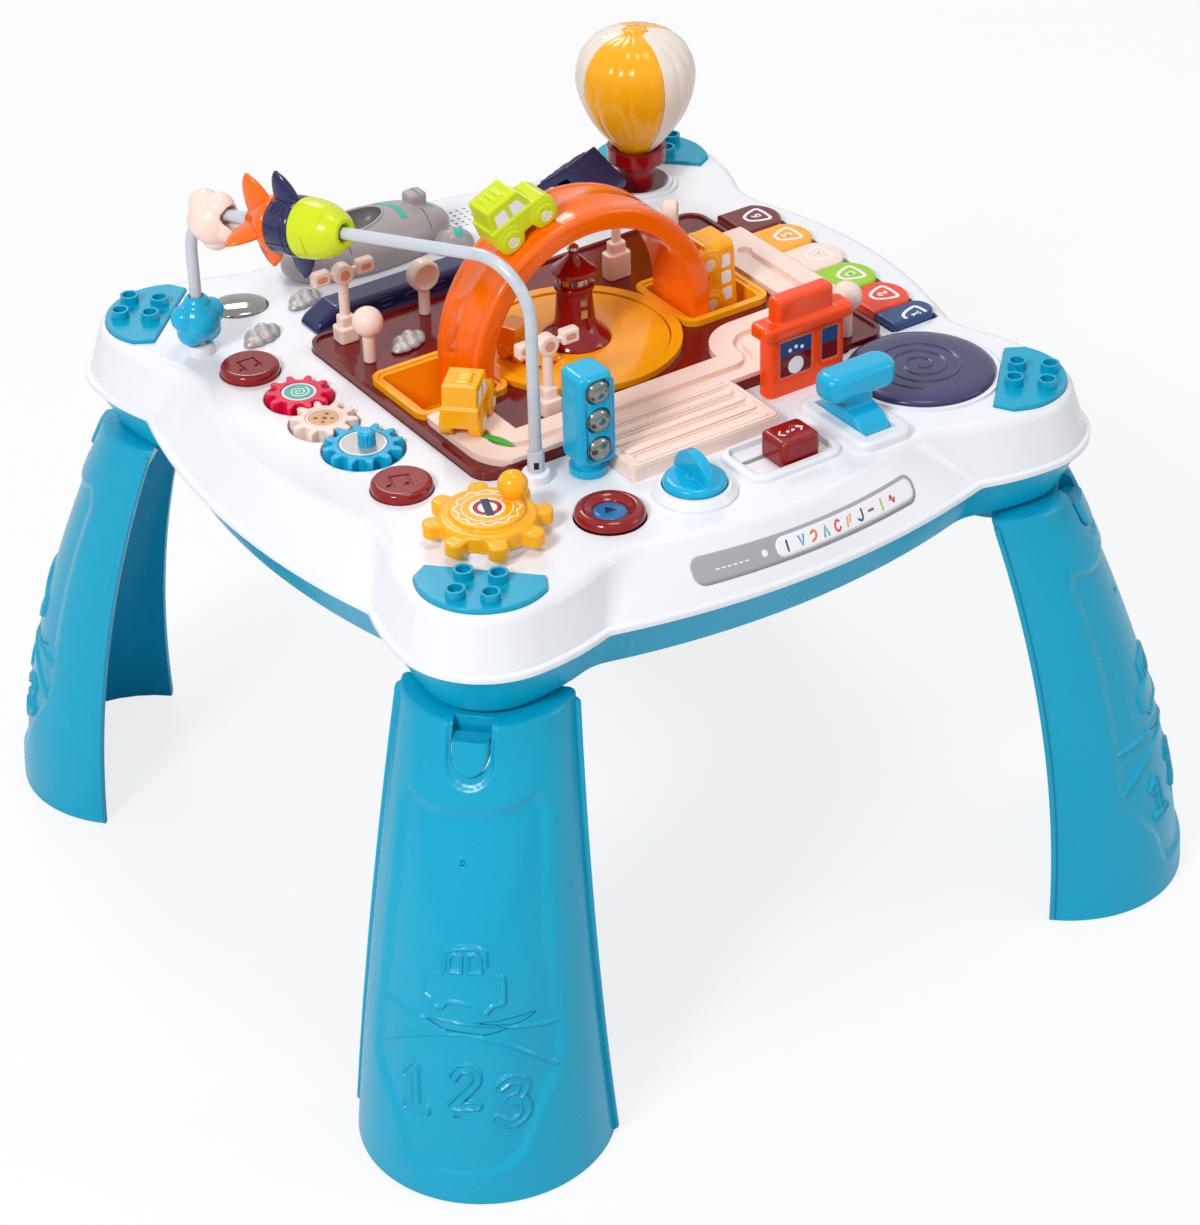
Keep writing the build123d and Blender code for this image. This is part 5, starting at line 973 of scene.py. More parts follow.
def grown(name, build, sizes, look, base=None):
    # a mesh made by its own Geometry Nodes tree, with named inputs for its sizes
    group = bpy.data.node_groups.new(name + "Maker", "GeometryNodeTree")
    faces = group.interface
    faces.new_socket("Geometry", in_out="INPUT", socket_type="NodeSocketGeometry")
    faces.new_socket("Geometry", in_out="OUTPUT", socket_type="NodeSocketGeometry")
    sockets = {}
    for key, value in sizes.items():
        kind = "NodeSocketInt" if isinstance(value, int) else "NodeSocketFloat"
        sockets[key] = faces.new_socket(key, in_out="INPUT", socket_type=kind).identifier
    tree = Tree(group)
    tree.add("NodeGroupInput")
    given = {"base": tree.pick(0)}
    for index, key in enumerate(sizes):
        given[key] = tree.pick(index + 1)
    shape = build(tree, given)
    whole = tree.add("GeometryNodeRealizeInstances", {}, {0: shape})
    whole = tree.add("GeometryNodeSetMaterial", {}, {0: whole, "Material": look})
    tree.add("NodeGroupOutput", {}, {0: whole})
    host = bpy.data.objects.new(name, base or bpy.data.meshes.new(name))
    bpy.context.collection.objects.link(host)
    maker = host.modifiers.new("maker", "NODES")
    maker.node_group = group
    for key, value in sizes.items():
        maker[sockets[key]] = value
    mesh = baked(host)
    bpy.data.objects.remove(host)
    return mesh


def vector(tree, x, y, z):
    return tree.add("ShaderNodeCombineXYZ", {}, {0: x, 1: y, 2: z})


def archPlace(given, along, out):
    # position and lean of a point so far along the bridge, out from its outer face
    radius = given["Radius"]
    lean = (along / radius).largest(-pi / 2).smallest(pi / 2)
    drop = (abs(along) - radius * (pi / 2)).largest(0.0)
    reach = radius + out
    return reach * lean.sine(), given["Centre height"] + reach * (lean + pi / 2).sine() - drop, lean


def archSection():
    # half-open run round the section: (out, side), outer face first
    half, thick = arch["half"], arch["outer"] - arch["inner"]
    fillet, crease = 2.6, 0.5
    outer = [(-fillet + fillet * sin(a), -half + fillet - fillet * cos(a))
             for a in np.linspace(0, pi / 2, 6)]
    outer += [(0, -13.2), (-0.3, -12.9), (-0.3, -1.7), (-0.05, -1.3), (-0.05, -0.35), (-crease, 0)]
    outer += [(o, -s) for o, s in outer[:-1]][::-1]
    inner = [(-thick + 1.2 - 1.2 * sin(a), half - 1.2 + 1.2 * cos(a))
             for a in np.linspace(0, pi / 2, 4)]
    inner += [(o, -s) for o, s in inner][::-1]
    return outer + inner


def archBase():
    section = archSection()
    reach = arch["outer"] * pi / 2 + arch["centre"] - arch["floor"]
    rows = np.linspace(-reach, reach, 221)
    points, faces, along, out, side = [], [], [], [], []
    count = len(section)
    for s in rows:
        for o, w in section:
            points.append((s, w, o))
            along.append(s * mm)
            out.append(o * mm)
            side.append(w * mm)
    for i in range(len(rows) - 1):
        for j in range(count):
            k = (j + 1) % count
            faces.append([i * count + j, i * count + k, (i + 1) * count + k, (i + 1) * count + j])
    last = (len(rows) - 1) * count
    faces += [list(range(count)), list(range(last, last + count))]
    mesh = meshFrom("archBase", points, faces)
    for name, values in (("along", along), ("out", out), ("side", side)):
        layer = mesh.attributes.new(name, "FLOAT", "POINT")
        layer.data.foreach_set("value", values)
    return tidyNormals(mesh)


def archTree(tree, given):
    add = tree.add
    def stored(name):
        return add("GeometryNodeInputNamedAttribute", {"data_type": "FLOAT"}, {"Name": name})
    along, out, side = stored("along"), stored("out"), stored("side")
    x, z, _ = archPlace(given, along, out)
    skin = add("GeometryNodeSetPosition", {},
               {0: given["base"], "Position": vector(tree, x, side, z)})
    count = given["Teeth per side"]
    rowOfPoints = add("GeometryNodeMeshLine", {"mode": "OFFSET"}, {"Count": count})
    index = add("GeometryNodeInputIndex")
    where = (index - count * 0.5) * given["Tooth pitch"]
    size = vector(tree, given["Tooth pitch"] * 0.5, given["Tooth width"], given["Tooth rise"])
    tooth = add("GeometryNodeMeshCube", {}, {"Size": size})
    parts = [skin]
    for edge in (-1, 1):
        x, z, lean = archPlace(given, where, -0.2 * mm)
        spots = add("GeometryNodeSetPosition", {}, {
            0: rowOfPoints, "Position": vector(tree, x, given["Tooth inset"] * edge, z)})
        parts.append(add("GeometryNodeInstanceOnPoints", {}, {
            "Points": spots, "Instance": tooth, "Rotation": vector(tree, 0.0, lean, 0.0)}))
    join = add("GeometryNodeJoinGeometry", {}, {0: parts[0]})
    for part in parts[1:]:
        tree.tree.links.new(part.socket, tree.last.inputs[0])
    return join


archSkin = grown("archSkin", archTree, {
    "Radius": arch["outer"] * mm, "Centre height": arch["centre"] * mm, "Teeth per side": 250,
    "Tooth pitch": 1.05 * mm, "Tooth width": 2.2 * mm, "Tooth rise": 0.7 * mm,
    "Tooth inset": 14.6 * mm}, paint["orange"], archBase())
sharpened(archSkin, 38)
makePiece("arch_bridge_moulding", archSkin, paint["orange"], "table",
          ["arch_bridge"])
print("arch grown")

record = {
    "at": (122.6, -121.2), "low": 282.3, "top": 286.2, "radius": 36.2, "turns": 3.1,
    "spiralIn": 2.6, "spiralOut": 24.0, "bead": 0.95,
}


def spiralTree(tree, given):
    add = tree.add
    path = add("GeometryNodeCurveSpiral", {}, {
        "Resolution": 48, "Rotations": given["Turns"], "Start Radius": given["Inner radius"],
        "End Radius": given["Outer radius"], "Height": 0.0, "Reverse": True})
    ring = add("GeometryNodeCurvePrimitiveCircle", {"mode": "RADIUS"},
               {"Resolution": 8, "Radius": given["Bead radius"]})
    tube = add("GeometryNodeCurveToMesh", {}, {0: path, 1: ring, "Fill Caps": True})
    return add("GeometryNodeTransform", {}, {
        0: tube, "Translation": vector(tree, given["Centre X"], given["Centre Y"], given["Height"]),
        "Rotation": (0, 0, radians(200))})


spiral = grown("recordSpiral", spiralTree, {
    "Turns": record["turns"], "Inner radius": record["spiralIn"] * mm,
    "Outer radius": record["spiralOut"] * mm, "Bead radius": record["bead"] * mm,
    "Centre X": record["at"][0] * mm, "Centre Y": record["at"][1] * mm,
    "Height": (record["top"] - 0.25) * mm}, paint["record"])
spiral.shade_smooth()
r, low, top = record["radius"], record["low"], record["top"]
plate = latheMesh("recordPlate", [(0, low), (r - 0.8, low), (r, low + 0.8), (r, top - 2.2),
                                  (r - 0.5, top - 1.4), (r - 1.6, top - 0.9), (r - 4.0, top - 0.4),
                                  (r - 8.0, top - 0.1), (r - 11.0, top), (0, top)], 128,
                  put(*record["at"]))
makePiece("record_disc_moulding", sharpened(joined([plate, tidyNormals(spiral)], "recordDisc"), 40),
          paint["record"], "record_disc", ["record_disc"])

house = {
    "at": (88.2, 125.6), "turn": 25.5, "deck": 282.0, "ridge": 30.2, "eave": 14.6, "half": 19.5,
    "length": 14.6, "rows": 3, "columns": 4,
}


def shingleTree(tree, given):
    add = tree.add
    count = given["Rows"] * given["Columns"]
    line = add("GeometryNodeMeshLine", {"mode": "OFFSET"}, {"Count": count})
    index = add("GeometryNodeInputIndex")
    row = tree.add("ShaderNodeMath", {"operation": "FLOOR"}, {0: index / given["Columns"]})
    column = index - row * given["Columns"]
    x = (column - 1.7) * given["Step across"] + (row % 2) * given["Step across"] * 0.5
    down = (row + 0.9) * given["Step down"]
    tile = add("GeometryNodeMeshCube", {}, {"Size": (2.2 * mm, 4.6 * mm, 1.5 * mm)})
    parts = []
    for side in (-1, 1):
        lean = side * -given["Slope"]
        y = down * (given["Slope"] + pi / 2).sine() * side
        z = down * -1.0 * given["Slope"].sine()
        spots = add("GeometryNodeSetPosition", {}, {0: line, "Position": vector(tree, x, y, z)})
        parts.append(add("GeometryNodeInstanceOnPoints", {}, {
            "Points": spots, "Instance": tile, "Rotation": vector(tree, lean, 0.0, 0.0)}))
    join = add("GeometryNodeJoinGeometry", {}, {0: parts[0]})
    tree.tree.links.new(parts[1].socket, tree.last.inputs[0])
    return join


def makeHouse():
    base = house["deck"]
    place = put(*house["at"], base, house["turn"])
    walls = roundedBlock(-12, 12, -11, 11, 0.0, 17, 2.0, place)
    flat = place @ Matrix(((0, 0, 1, 0), (1, 0, 0, 0), (0, 1, 0, 0), (0, 0, 0, 1)))
    gable = [(0, house["ridge"]), (-house["half"], house["eave"]),
             (-house["half"], house["eave"] - 3.4), (-17.0, house["eave"] - 3.8),
             (0, house["ridge"] - 7.0), (17.0, house["eave"] - 3.8),
             (house["half"], house["eave"] - 3.4), (house["half"], house["eave"])]
    roof = prismMesh("roof", gable, -house["length"], house["length"], flat)
    body = softened(joined([walls, roof], "houseBody"), 0.5, 4)
    slope = atan2(house["ridge"] - house["eave"], house["half"])
    tiles = grown("shingles", shingleTree, {
        "Rows": house["rows"], "Columns": house["columns"], "Step across": 6.8 * mm,
        "Step down": 7.0 * mm, "Slope": slope}, paint["navy"])
    tiles = placed(tiles, place @ Matrix.Translation((0, 0, house["ridge"] - 0.2)))
    whole = joined([body, tiles], "houseWhole")
    makePiece("tile_roof_moulding", sharpened(whole, 40), paint["navy"], "table",
              ["tile_roof"])


makeHouse()
print("record and house grown")

balloonForm = {
    "at": (128.0, 131.0), "base": 301.0, "radius": 32.0, "height": 71.0, "neck": 7.0,
    "flutes": 5, "fluteDepth": 0.75, "turn": -5.0, "steps": 240,
}


def makeBalloon():
    # four gores with soft flutes, two of them pale, and a scalloped cap
    b = balloonForm
    knots = [(b["neck"], 0), (b["radius"] * 0.52, b["height"] * 0.15),
             (b["radius"] * 0.80, b["height"] * 0.33), (b["radius"] * 0.97, b["height"] * 0.52),
             (b["radius"], b["height"] * 0.68), (b["radius"] * 0.90, b["height"] * 0.83),
             (b["radius"] * 0.66, b["height"] * 0.94), (b["radius"] * 0.33, b["height"] * 0.99),
             (2.0, b["height"])]
    profile = bowed(knots, 8)
    points, faces, kinds = [], [], []
    for radius, height in profile:
        swell = min(1.0, height / (b["height"] * 0.3)) * min(1.0, radius / 12)
        for i in range(b["steps"]):
            share = i / b["steps"] * 4
            inGore = share % 1.0
            flute = abs(sin(pi * inGore * b["flutes"])) ** 0.7
            seam = 1 - ease(np.array(min(inGore, 1 - inGore) * 90), 0.0, 1.2)
            r = radius + b["fluteDepth"] * swell * (flute - 1) - 0.5 * swell * float(seam)
            angle = radians(b["turn"]) + 2 * pi * i / b["steps"]
            points.append((b["at"][0] + r * cos(angle), b["at"][1] + r * sin(angle),
                           b["base"] + height))
    steps = b["steps"]
    for row in range(len(profile) - 1):
        for i in range(steps):
            j = (i + 1) % steps
            faces.append([row * steps + i, row * steps + j, (row + 1) * steps + j,
                          (row + 1) * steps + i])
            kinds.append(int(i / steps * 4) % 2)
    faces += [list(range(steps)), list(range(len(points) - steps, len(points)))]
    kinds += [0, 0]
    skin = meshFrom("balloonSkin", points, faces)
    skin.polygons.foreach_set("material_index", kinds)
    bm = bmesh.new()
    bm.from_mesh(skin)
    bmesh.ops.recalc_face_normals(bm, faces=bm.faces)
    top = b["base"] + b["height"]
    cap = latheMesh("cap", [(0, top - 1.2), (6.4, top - 1.4), (6.8, top - 0.4), (6.2, top + 0.5),
                            (3.0, top + 1.1), (0, top + 1.2)], 64, put(*b["at"]))
    for vertex in cap.vertices:
        x, y = vertex.co.x - b["at"][0] * mm, vertex.co.y - b["at"][1] * mm
        scale = 1 + 0.09 * cos(8 * atan2(y, x)) * min(1, hypot(x, y) / (6 * mm))
        vertex.co.x, vertex.co.y = b["at"][0] * mm + x * scale, b["at"][1] * mm + y * scale
    bm.from_mesh(cap)
    mesh = bpy.data.meshes.new("balloonWhole")
    bm.to_mesh(mesh)
    bm.free()
    sharpened(mesh, 60)
    makePiece("balloon_bulb", mesh, [paint["yellow"], paint["cream"]], "balloon_stick",
              ["balloon"])
    print("balloon faces by gore:", kinds.count(0), kinds.count(1))


makeBalloon()

tower = {"base": 287.6, "windows": (17.2, 23.6), "windowTurns": (-95, 85), "gallery": (31.4, 36.0)}


def makeTower():
    # silver panes, the ring of panes under the roof and the finial
    parts = []
    for height in tower["windows"]:
        for turn in tower["windowTurns"]:
            radius = 10.3 - (height - 10) * 1.4 / 17.2
            place = put(0, 0, tower["base"], turn) @ Matrix.Translation((radius - 1.4, 0, height))
            place = place @ Matrix.Rotation(pi / 2, 4, "Y")
            parts.append(roundedBlock(-2.3, 2.3, -1.8, 1.8, 0, 1.75, 0.5, place))
    low, high = tower["gallery"]
    for index in range(7):
        place = put(0, 0, tower["base"], 360 / 7 * index + 10) @ Matrix.Translation((7.4, 0, 0))
        outline = roundedOutline(0.0, 1.15, -2.8, 2.8, 0.3, 2)
        parts.append(prismMesh("pane", outline, low + 0.9, high - 0.8, place))
    parts.append(latheMesh("finial", [(0, 47.6), (2.2, 48.0), (3.0, 49.2), (2.8, 50.6), (1.6, 51.8),
                                      (0, 52.2)], 32, put(0, 0, tower["base"])))
    makePiece("lighthouse_trim", sharpened(joined(parts, "towerTrim")), paint["chrome"],
              "turntable")


makeTower()


def lumpyCloud(at, turn, base, scale=1.0):
    # a puffed cloud let into its seat
    puffs = [(-8.4, -0.6, 3.9, 3.4), (-3.6, 1.8, 4.9, 5.4), (2.2, 1.2, 5.2, 6.2),
             (7.2, -0.4, 4.2, 4.4), (0.2, -2.6, 4.6, 4.2), (-5.4, -2.4, 3.8, 3.4),
             (5.0, -2.8, 3.6, 3.4)]
    parts = []
    for x, y, radius, rise in puffs:
        place = put(*at, base, turn) @ Matrix.Translation((x * scale, y * scale, 0.4))
        place = place @ Matrix.Diagonal((radius * scale, radius * scale, rise * scale, 1))
        ring = [(sin(a), -cos(a)) for a in np.linspace(0, pi, 13)]
        ring[0], ring[-1] = (0, -0.1), (0, 1)
        ring = [(r, max(h, -0.1)) for r, h in ring if h > -0.1 or r == 0]
        parts.append(latheMesh("puff", [(0, -0.1), *[p for p in ring if p[1] > -0.1]], 20, place))
    return softened(joined(parts, "cloud"), 0.45, 14)


def makeInserts():
    at, turn, deck = (-115.5, 137.5), -25, 282.0
    rim = [(1.0, 0.0), (1.0, 0.5), (0.985, 0.9), (0.93, 1.5), (0.80, 2.2), (0.6, 2.9), (0.3, 3.4),
           (0, 3.55)]
    dome = latheMesh("mirror", [(0, 0)] + rim, 96,
                     put(*at, deck, turn) @ Matrix.Diagonal((15.5, 12.5, 1, 1)))
    dome = tidyNormals(dome)
    clouds = [lumpyCloud((-122.5, 101.0), 20, deck, 1.05),
              lumpyCloud((-86.0, 121.5), 20, deck, 0.95),
              lumpyCloud((-69.0, 47.0), 20, 285.0, 1.0)]
    makePiece("silver_inserts", joined(clouds, "inserts"), paint["mirror"], "table",
              ["mirror_inserts"])
    makePiece("mirror_dome", dome, paint["glass"], "table")


makeInserts()
print("balloon, tower and inserts made")

digitRuns = {
    "1": [[(-1.0, 2.0), (0.4, 3.0), (0.4, -3.0)], [(-1.2, -3.0), (1.8, -3.0)]],
    "2": [bowed([(-1.7, 1.6), (-0.4, 3.0), (1.2, 2.8), (1.7, 1.2), (0.0, -1.0), (-1.8, -3.0)], 4),
          [(-1.8, -3.0), (1.9, -3.0)]],
    "3": [bowed([(-1.6, 2.2), (0.0, 3.0), (1.6, 2.0), (1.2, 0.6), (-0.2, 0.1)], 4),
          bowed([(-0.2, 0.1), (1.5, -0.5), (1.7, -2.0), (0.0, -3.1), (-1.8, -2.2)], 4)],
    "4": [[(0.8, -3.0), (0.8, 3.0), (-1.9, -1.2), (1.9, -1.2)]],
    "5": [[(1.6, 3.0), (-1.3, 3.0), (-1.5, 0.5)],
          bowed([(-1.5, 0.5), (0.2, 0.9), (1.7, -0.4), (1.3, -2.4), (-0.2, -3.0), (-1.8, -2.3)],
                4)],
    "6": [bowed([(1.4, 2.9), (-0.6, 1.8), (-1.7, -0.6), (-1.2, -2.4), (0.2, -3.0), (1.5, -2.2),
                 (1.5, -0.6), (0.2, 0.2), (-1.4, -0.6)], 4)],
}
keyPick = bowed([(-5.4, 0.0), (-4.9, 2.4), (-1.2, 4.9), (4.6, 6.6), (6.4, 5.4), (7.0, 0.0),
                 (6.4, -5.4), (4.6, -6.6), (-1.2, -4.9), (-4.9, -2.4), (-5.4, 0.0)], 5)[:-1]
keyMarks = {"middleX": 151.0, "line": 1.7, "digit": 1.05, "lift": 0.12, "sink": 0.35}


def makeKeys():
    for number in range(6, 0, -1):
        node = f"key_{number}"
        low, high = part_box(node)
        middle = (low[1] + high[1]) / 2 / mm
        if high[1] - low[1] < 0.024:
            middle = high[1] / mm - 13.2 + 0.4
        top = high[2] / mm
        edge = top - keyMarks["sink"], top + keyMarks["lift"]
        limit = low[1] / mm + 1.2
        flat = Matrix.Translation((keyMarks["middleX"], middle, 0))
        runs = [(keyPick, keyMarks["line"], True)]
        runs += [([(1.2 - b * 0.78, a * 0.78) for a, b in run], keyMarks["digit"], False)
                 for run in digitRuns[str(number)]]
        parts = [strokeMesh(run, width, *edge, flat, closed) for run, width, closed in runs]
        mark = joined(parts, node + "Mark")
        if number == 1:
            bm = bmesh.new()
            bm.from_mesh(mark)
            cut = bmesh.ops.bisect_plane(bm, geom=bm.verts[:] + bm.edges[:] + bm.faces[:],
                                         plane_co=(0, limit * mm, 0), plane_no=(0, -1, 0),
                                         clear_outer=True)
            bmesh.ops.holes_fill(bm, edges=[e for e in cut["geom_cut"]
                                            if isinstance(e, bmesh.types.BMEdge)])
            bm.to_mesh(mark)
            bm.free()
        makePiece(node + "_print", mark, paint["print"], node)


makeKeys()


def discMesh(radius, low, high, place=Matrix.Identity(4), steps=64, scallop=0.0, lobes=8):
    outline = [(radius * (1 + scallop * cos(lobes * a)) * cos(a),
                radius * (1 + scallop * cos(lobes * a)) * sin(a))
               for a in np.linspace(0, 2 * pi, steps, endpoint=False)]
    return prismMesh("disc", outline, low, high, place)


def ringRun(radius, steps=64, wave=0.0, lobes=8, start=0.0):
    return [((radius + wave * cos(lobes * a)) * cos(a + start),
             (radius + wave * cos(lobes * a)) * sin(a + start))
            for a in np.linspace(0, 2 * pi, steps, endpoint=False)]


gearFaces = {"gear_pink": 9.0, "gear_cream": 9.0, "gear_blue": 11.9}
gearCentres = {"gear_pink": (-137.2, 37.646), "gear_cream": (-140.2, 8.6),
               "gear_blue": (-137.2, -23.38)}
gearTop = 285.0


def makeGearFaces():
    x, y = gearCentres["gear_pink"]
    place = put(x, y, gearTop)
    makePiece("gear_pink_label", joined([discMesh(8.6, 0.0, 0.35, place)], "a"), paint["print"],
              "gear_pink")
    swirl = joined([discMesh(7.2, 0.2, 0.42, place)], "b")
    makePiece("gear_pink_swirl", swirl, paint["aqua"], "gear_pink")
    makePiece("gear_pink_line", strokeMesh(spiralRun(5.2, 2.1), 0.8, 0.3, 0.5, place),
              paint["print"], "gear_pink")
    x, y = gearCentres["gear_cream"]
    place = put(x, y, gearTop)
    makePiece("gear_cream_label", discMesh(8.6, 0.0, 0.35, place), paint["labelTan"],
              "gear_cream")
    rim = strokeMesh(ringRun(8.3), 0.8, 0.2, 0.45, place, True)
    spots = [discMesh(r, 0.2, 0.45, place @ Matrix.Translation((a, b, 0)), 20)
             for a, b, r in ((-3.4, 2.0, 1.1), (3.2, 2.6, 1.0), (0.2, -0.4, 1.3), (-2.4, -3.2, 0.9),
                             (3.0, -2.8, 0.9))]
    makePiece("gear_cream_rim", rim, paint["print"], "gear_cream")
    makePiece("gear_cream_spots", joined(spots, "spots"), paint["brown"], "gear_cream")
    x, y = gearCentres["gear_blue"]
    place = put(x, y, gearTop)
    makePiece("gear_blue_label", discMesh(11.4, 0.0, 0.35, place), paint["mirror"],
              "gear_blue")
    makePiece("gear_blue_rim", strokeMesh(ringRun(10.9), 1.0, 0.2, 0.5, place, True),
              paint["print"], "gear_blue")


makeGearFaces()


def makeWheelFace():
    # wavy white line, round label and its band on the crank wheel
    x, y = -130.7, -123.5
    top = 297.1
    place = put(x, y, top)
    wave = strokeMesh(ringRun(14.6, 160, 0.9, 12), 0.7, -0.3, 0.16, place, True)
    inner = strokeMesh(ringRun(11.8, 96), 0.5, -0.3, 0.16, place, True)
    makePiece("crank_lines", joined([wave, inner], "lines"), paint["print"], "crank_wheel")
    makePiece("crank_label", discMesh(8.2, -0.3, 0.2, place), paint["print"], "crank_wheel")
    makePiece("crank_label_ring", strokeMesh(ringRun(5.6), 2.2, -0.2, 0.3, place, True),
              paint["red"], "crank_wheel")
    bar = prismMesh("bar", roundedOutline(-7.4, 7.4, -1.9, 1.9, 0.6, 3), -0.1, 0.4,
                    place @ Matrix.Rotation(radians(70), 4, "Z"))
    makePiece("crank_label_bar", bar, paint["navy"], "crank_wheel")


makeWheelFace()




def makeSliderMarks():
    x, y, top = 23.1, -147.0, 295.3
    place = put(x, y, top)
    parts = [strokeMesh([(-4.8, 2.0), (-6.8, 0), (-4.8, -2.0)], 0.9, -0.7, 0.1, place),
             strokeMesh([(4.8, 2.0), (6.8, 0), (4.8, -2.0)], 0.9, -0.7, 0.1, place),
             discMesh(0.8, -0.7, 0.1, place @ Matrix.Translation((-1.6, 0, 0)), 16),
             discMesh(0.8, -0.7, 0.1, place @ Matrix.Translation((1.6, 0, 0)), 16)]
    makePiece("slider_marks", joined(parts, "sliderMarks"), paint["print"], "slider_block")


makeSliderMarks()

stationFace = {"at": (68.5, -95.5), "front": -5.0, "deck": 282.0}


def makeStationWindows():
    # two framed panes with plain shapes
    x, y = stationFace["at"]
    place = Matrix.Translation((x, y, stationFace["deck"])) @ standing
    depth = -stationFace["front"]
    def plate(x0, x1, z0, z1, lift, radius=0.8):
        return prismMesh("plate", roundedOutline(x0, x1, z0, z1, radius, 3), depth - 1.0,
                         depth - 0.45 + lift, place)
    makePiece("station_pane_frames", joined([plate(-16.8, 2.8, 9.4, 29.6, 0.0),
                                             plate(8.2, 18.8, 11.4, 29.6, 0.0)], "frames"),
              paint["labelGrey"], "table")
    makePiece("station_pane_sky", joined([plate(-16.2, 2.2, 20.5, 29.0, 0.1),
                                          plate(8.8, 18.2, 20.5, 29.0, 0.1)], "sky"),
              paint["keyBlue"], "table")
    makePiece("station_pane_ground", joined([plate(-16.2, 2.2, 10.0, 21.0, 0.12),
                                             plate(8.8, 18.2, 12.0, 21.0, 0.12)], "ground"),
              paint["maroon"], "table")
    parts = [discMesh(4.6, depth - 0.6, depth - 0.18,
                      place @ Matrix.Translation((-7.0, 14.8, 0)), 40)]
    for a in (-3.6, 0.0, 3.6):
        parts.append(discMesh(1.0, depth - 0.6, depth - 0.18,
                              place @ Matrix.Translation((-7.0 + a, 24.8 - abs(a) * 0.3, 0)), 20))
    makePiece("station_pane_shapes", joined(parts, "shapes"), paint["print"], "table")


makeStationWindows()


def faceTree(node):
    bm = bmesh.new()
    bm.from_mesh(nodes[node].data)
    tree = BVHTree.FromBMesh(bm)
    bm.free()
    return tree


def wrapped(tree, outline, origin, ahead, right, above, lift, step=1.5, sink=0.4):
    # a thin closed plate laid on a surface along one direction: outline in (right, above) mm
    low = [min(p[k] for p in outline) for k in (0, 1)]
    high = [max(p[k] for p in outline) for k in (0, 1)]
    columns = max(2, int((high[0] - low[0]) / step))
    points, faces, rows = [], [], 6
    for i in range(columns + 1):
        x = low[0] + (high[0] - low[0]) * (0.004 + 0.992 * i / columns)
        crossings = []
        for (ax, ay), (bx, by) in zip(outline, outline[1:] + outline[:1]):
            if (ax > x) != (bx > x):
                crossings.append(ay + (by - ay) * (x - ax) / (bx - ax))
        bottom, top = min(crossings), max(crossings)
        for j in range(rows + 1):
            y = bottom + (top - bottom) * j / rows
            start = origin + (right * x + above * y) * mm
            hit, normal, _, _ = tree.ray_cast(start, ahead)
            for level in (lift, -sink):
                points.append((hit - ahead * level * mm) / mm)
    stride = 2 * (rows + 1)
    for i in range(columns):
        for j in range(rows):
            a, b = i * stride + 2 * j, (i + 1) * stride + 2 * j
            faces.append([a, b, b + 2, a + 2])
            faces.append([a + 1, a + 3, b + 3, b + 1])
        faces.append([i * stride, i * stride + 1, (i + 1) * stride + 1, (i + 1) * stride])
        top = stride - 2
        faces.append([i * stride + top, (i + 1) * stride + top, (i + 1) * stride + top + 1,
                      i * stride + top + 1])
    for base in (0, columns * stride):
        faces.append([base + 2 * j for j in range(rows + 1)]
                     + [base + 2 * j + 1 for j in range(rows, -1, -1)])
    return tidyNormals(meshFrom("wrapped", points, faces))


label = {"low": 262.0, "high": 273.6, "left": -62.0, "right": 68.0, "inset": 1.5,
         "innerLeft": -20.0}
labelMarks = [
    ("keyBlue", [(-1.4, 2.4), (-1.4, -2.4)]), ("cyan", [(-1.6, 2.4), (0, -2.4), (1.6, 2.4)]),
    ("orange", bowed([(-1.7, 1.6), (0, 2.5), (1.7, 1.0), (0.6, -1.2), (-1.6, -2.2)], 4)),
    ("aqua", [(-1.5, -2.4), (0, 2.4), (1.5, -2.4)]),
    ("keyRed",
     bowed([(1.5, 1.9), (0, 2.5), (-1.6, 0.6), (-1.2, -1.8), (0.4, -2.5), (1.7, -1.2)], 4)),
    ("amber", [(-1.6, -2.2), (-0.5, 2.2), (0.5, -1.0), (1.6, 2.4)]),
    ("keyBlue", bowed([(-1.6, -1.4), (0, -2.5), (1.6, -1.4), (1.6, 2.4)], 4)),
    ("maroon", [(-1.6, 0), (1.6, 0)]), ("keyLime", [(0, 2.4), (0, -2.4)]),
    ("pink", bowed([(-1.6, 0.0), (-0.6, 1.6), (0.6, -1.6), (1.6, 0.0)], 4)),
]


def bandOutline(run, width):
    # closed outline of a band along a flat run
    left, right = [], []
    for i, (x, y) in enumerate(run):
        ax, ay = run[max(i - 1, 0)]
        bx, by = run[min(i + 1, len(run) - 1)]
        size = hypot(bx - ax, by - ay) or 1
        nx, ny = -(by - ay) / size * width / 2, (bx - ax) / size * width / 2
        left.append((x + nx, y + ny))
        right.append((x - nx, y - ny))
    return left + right[::-1]


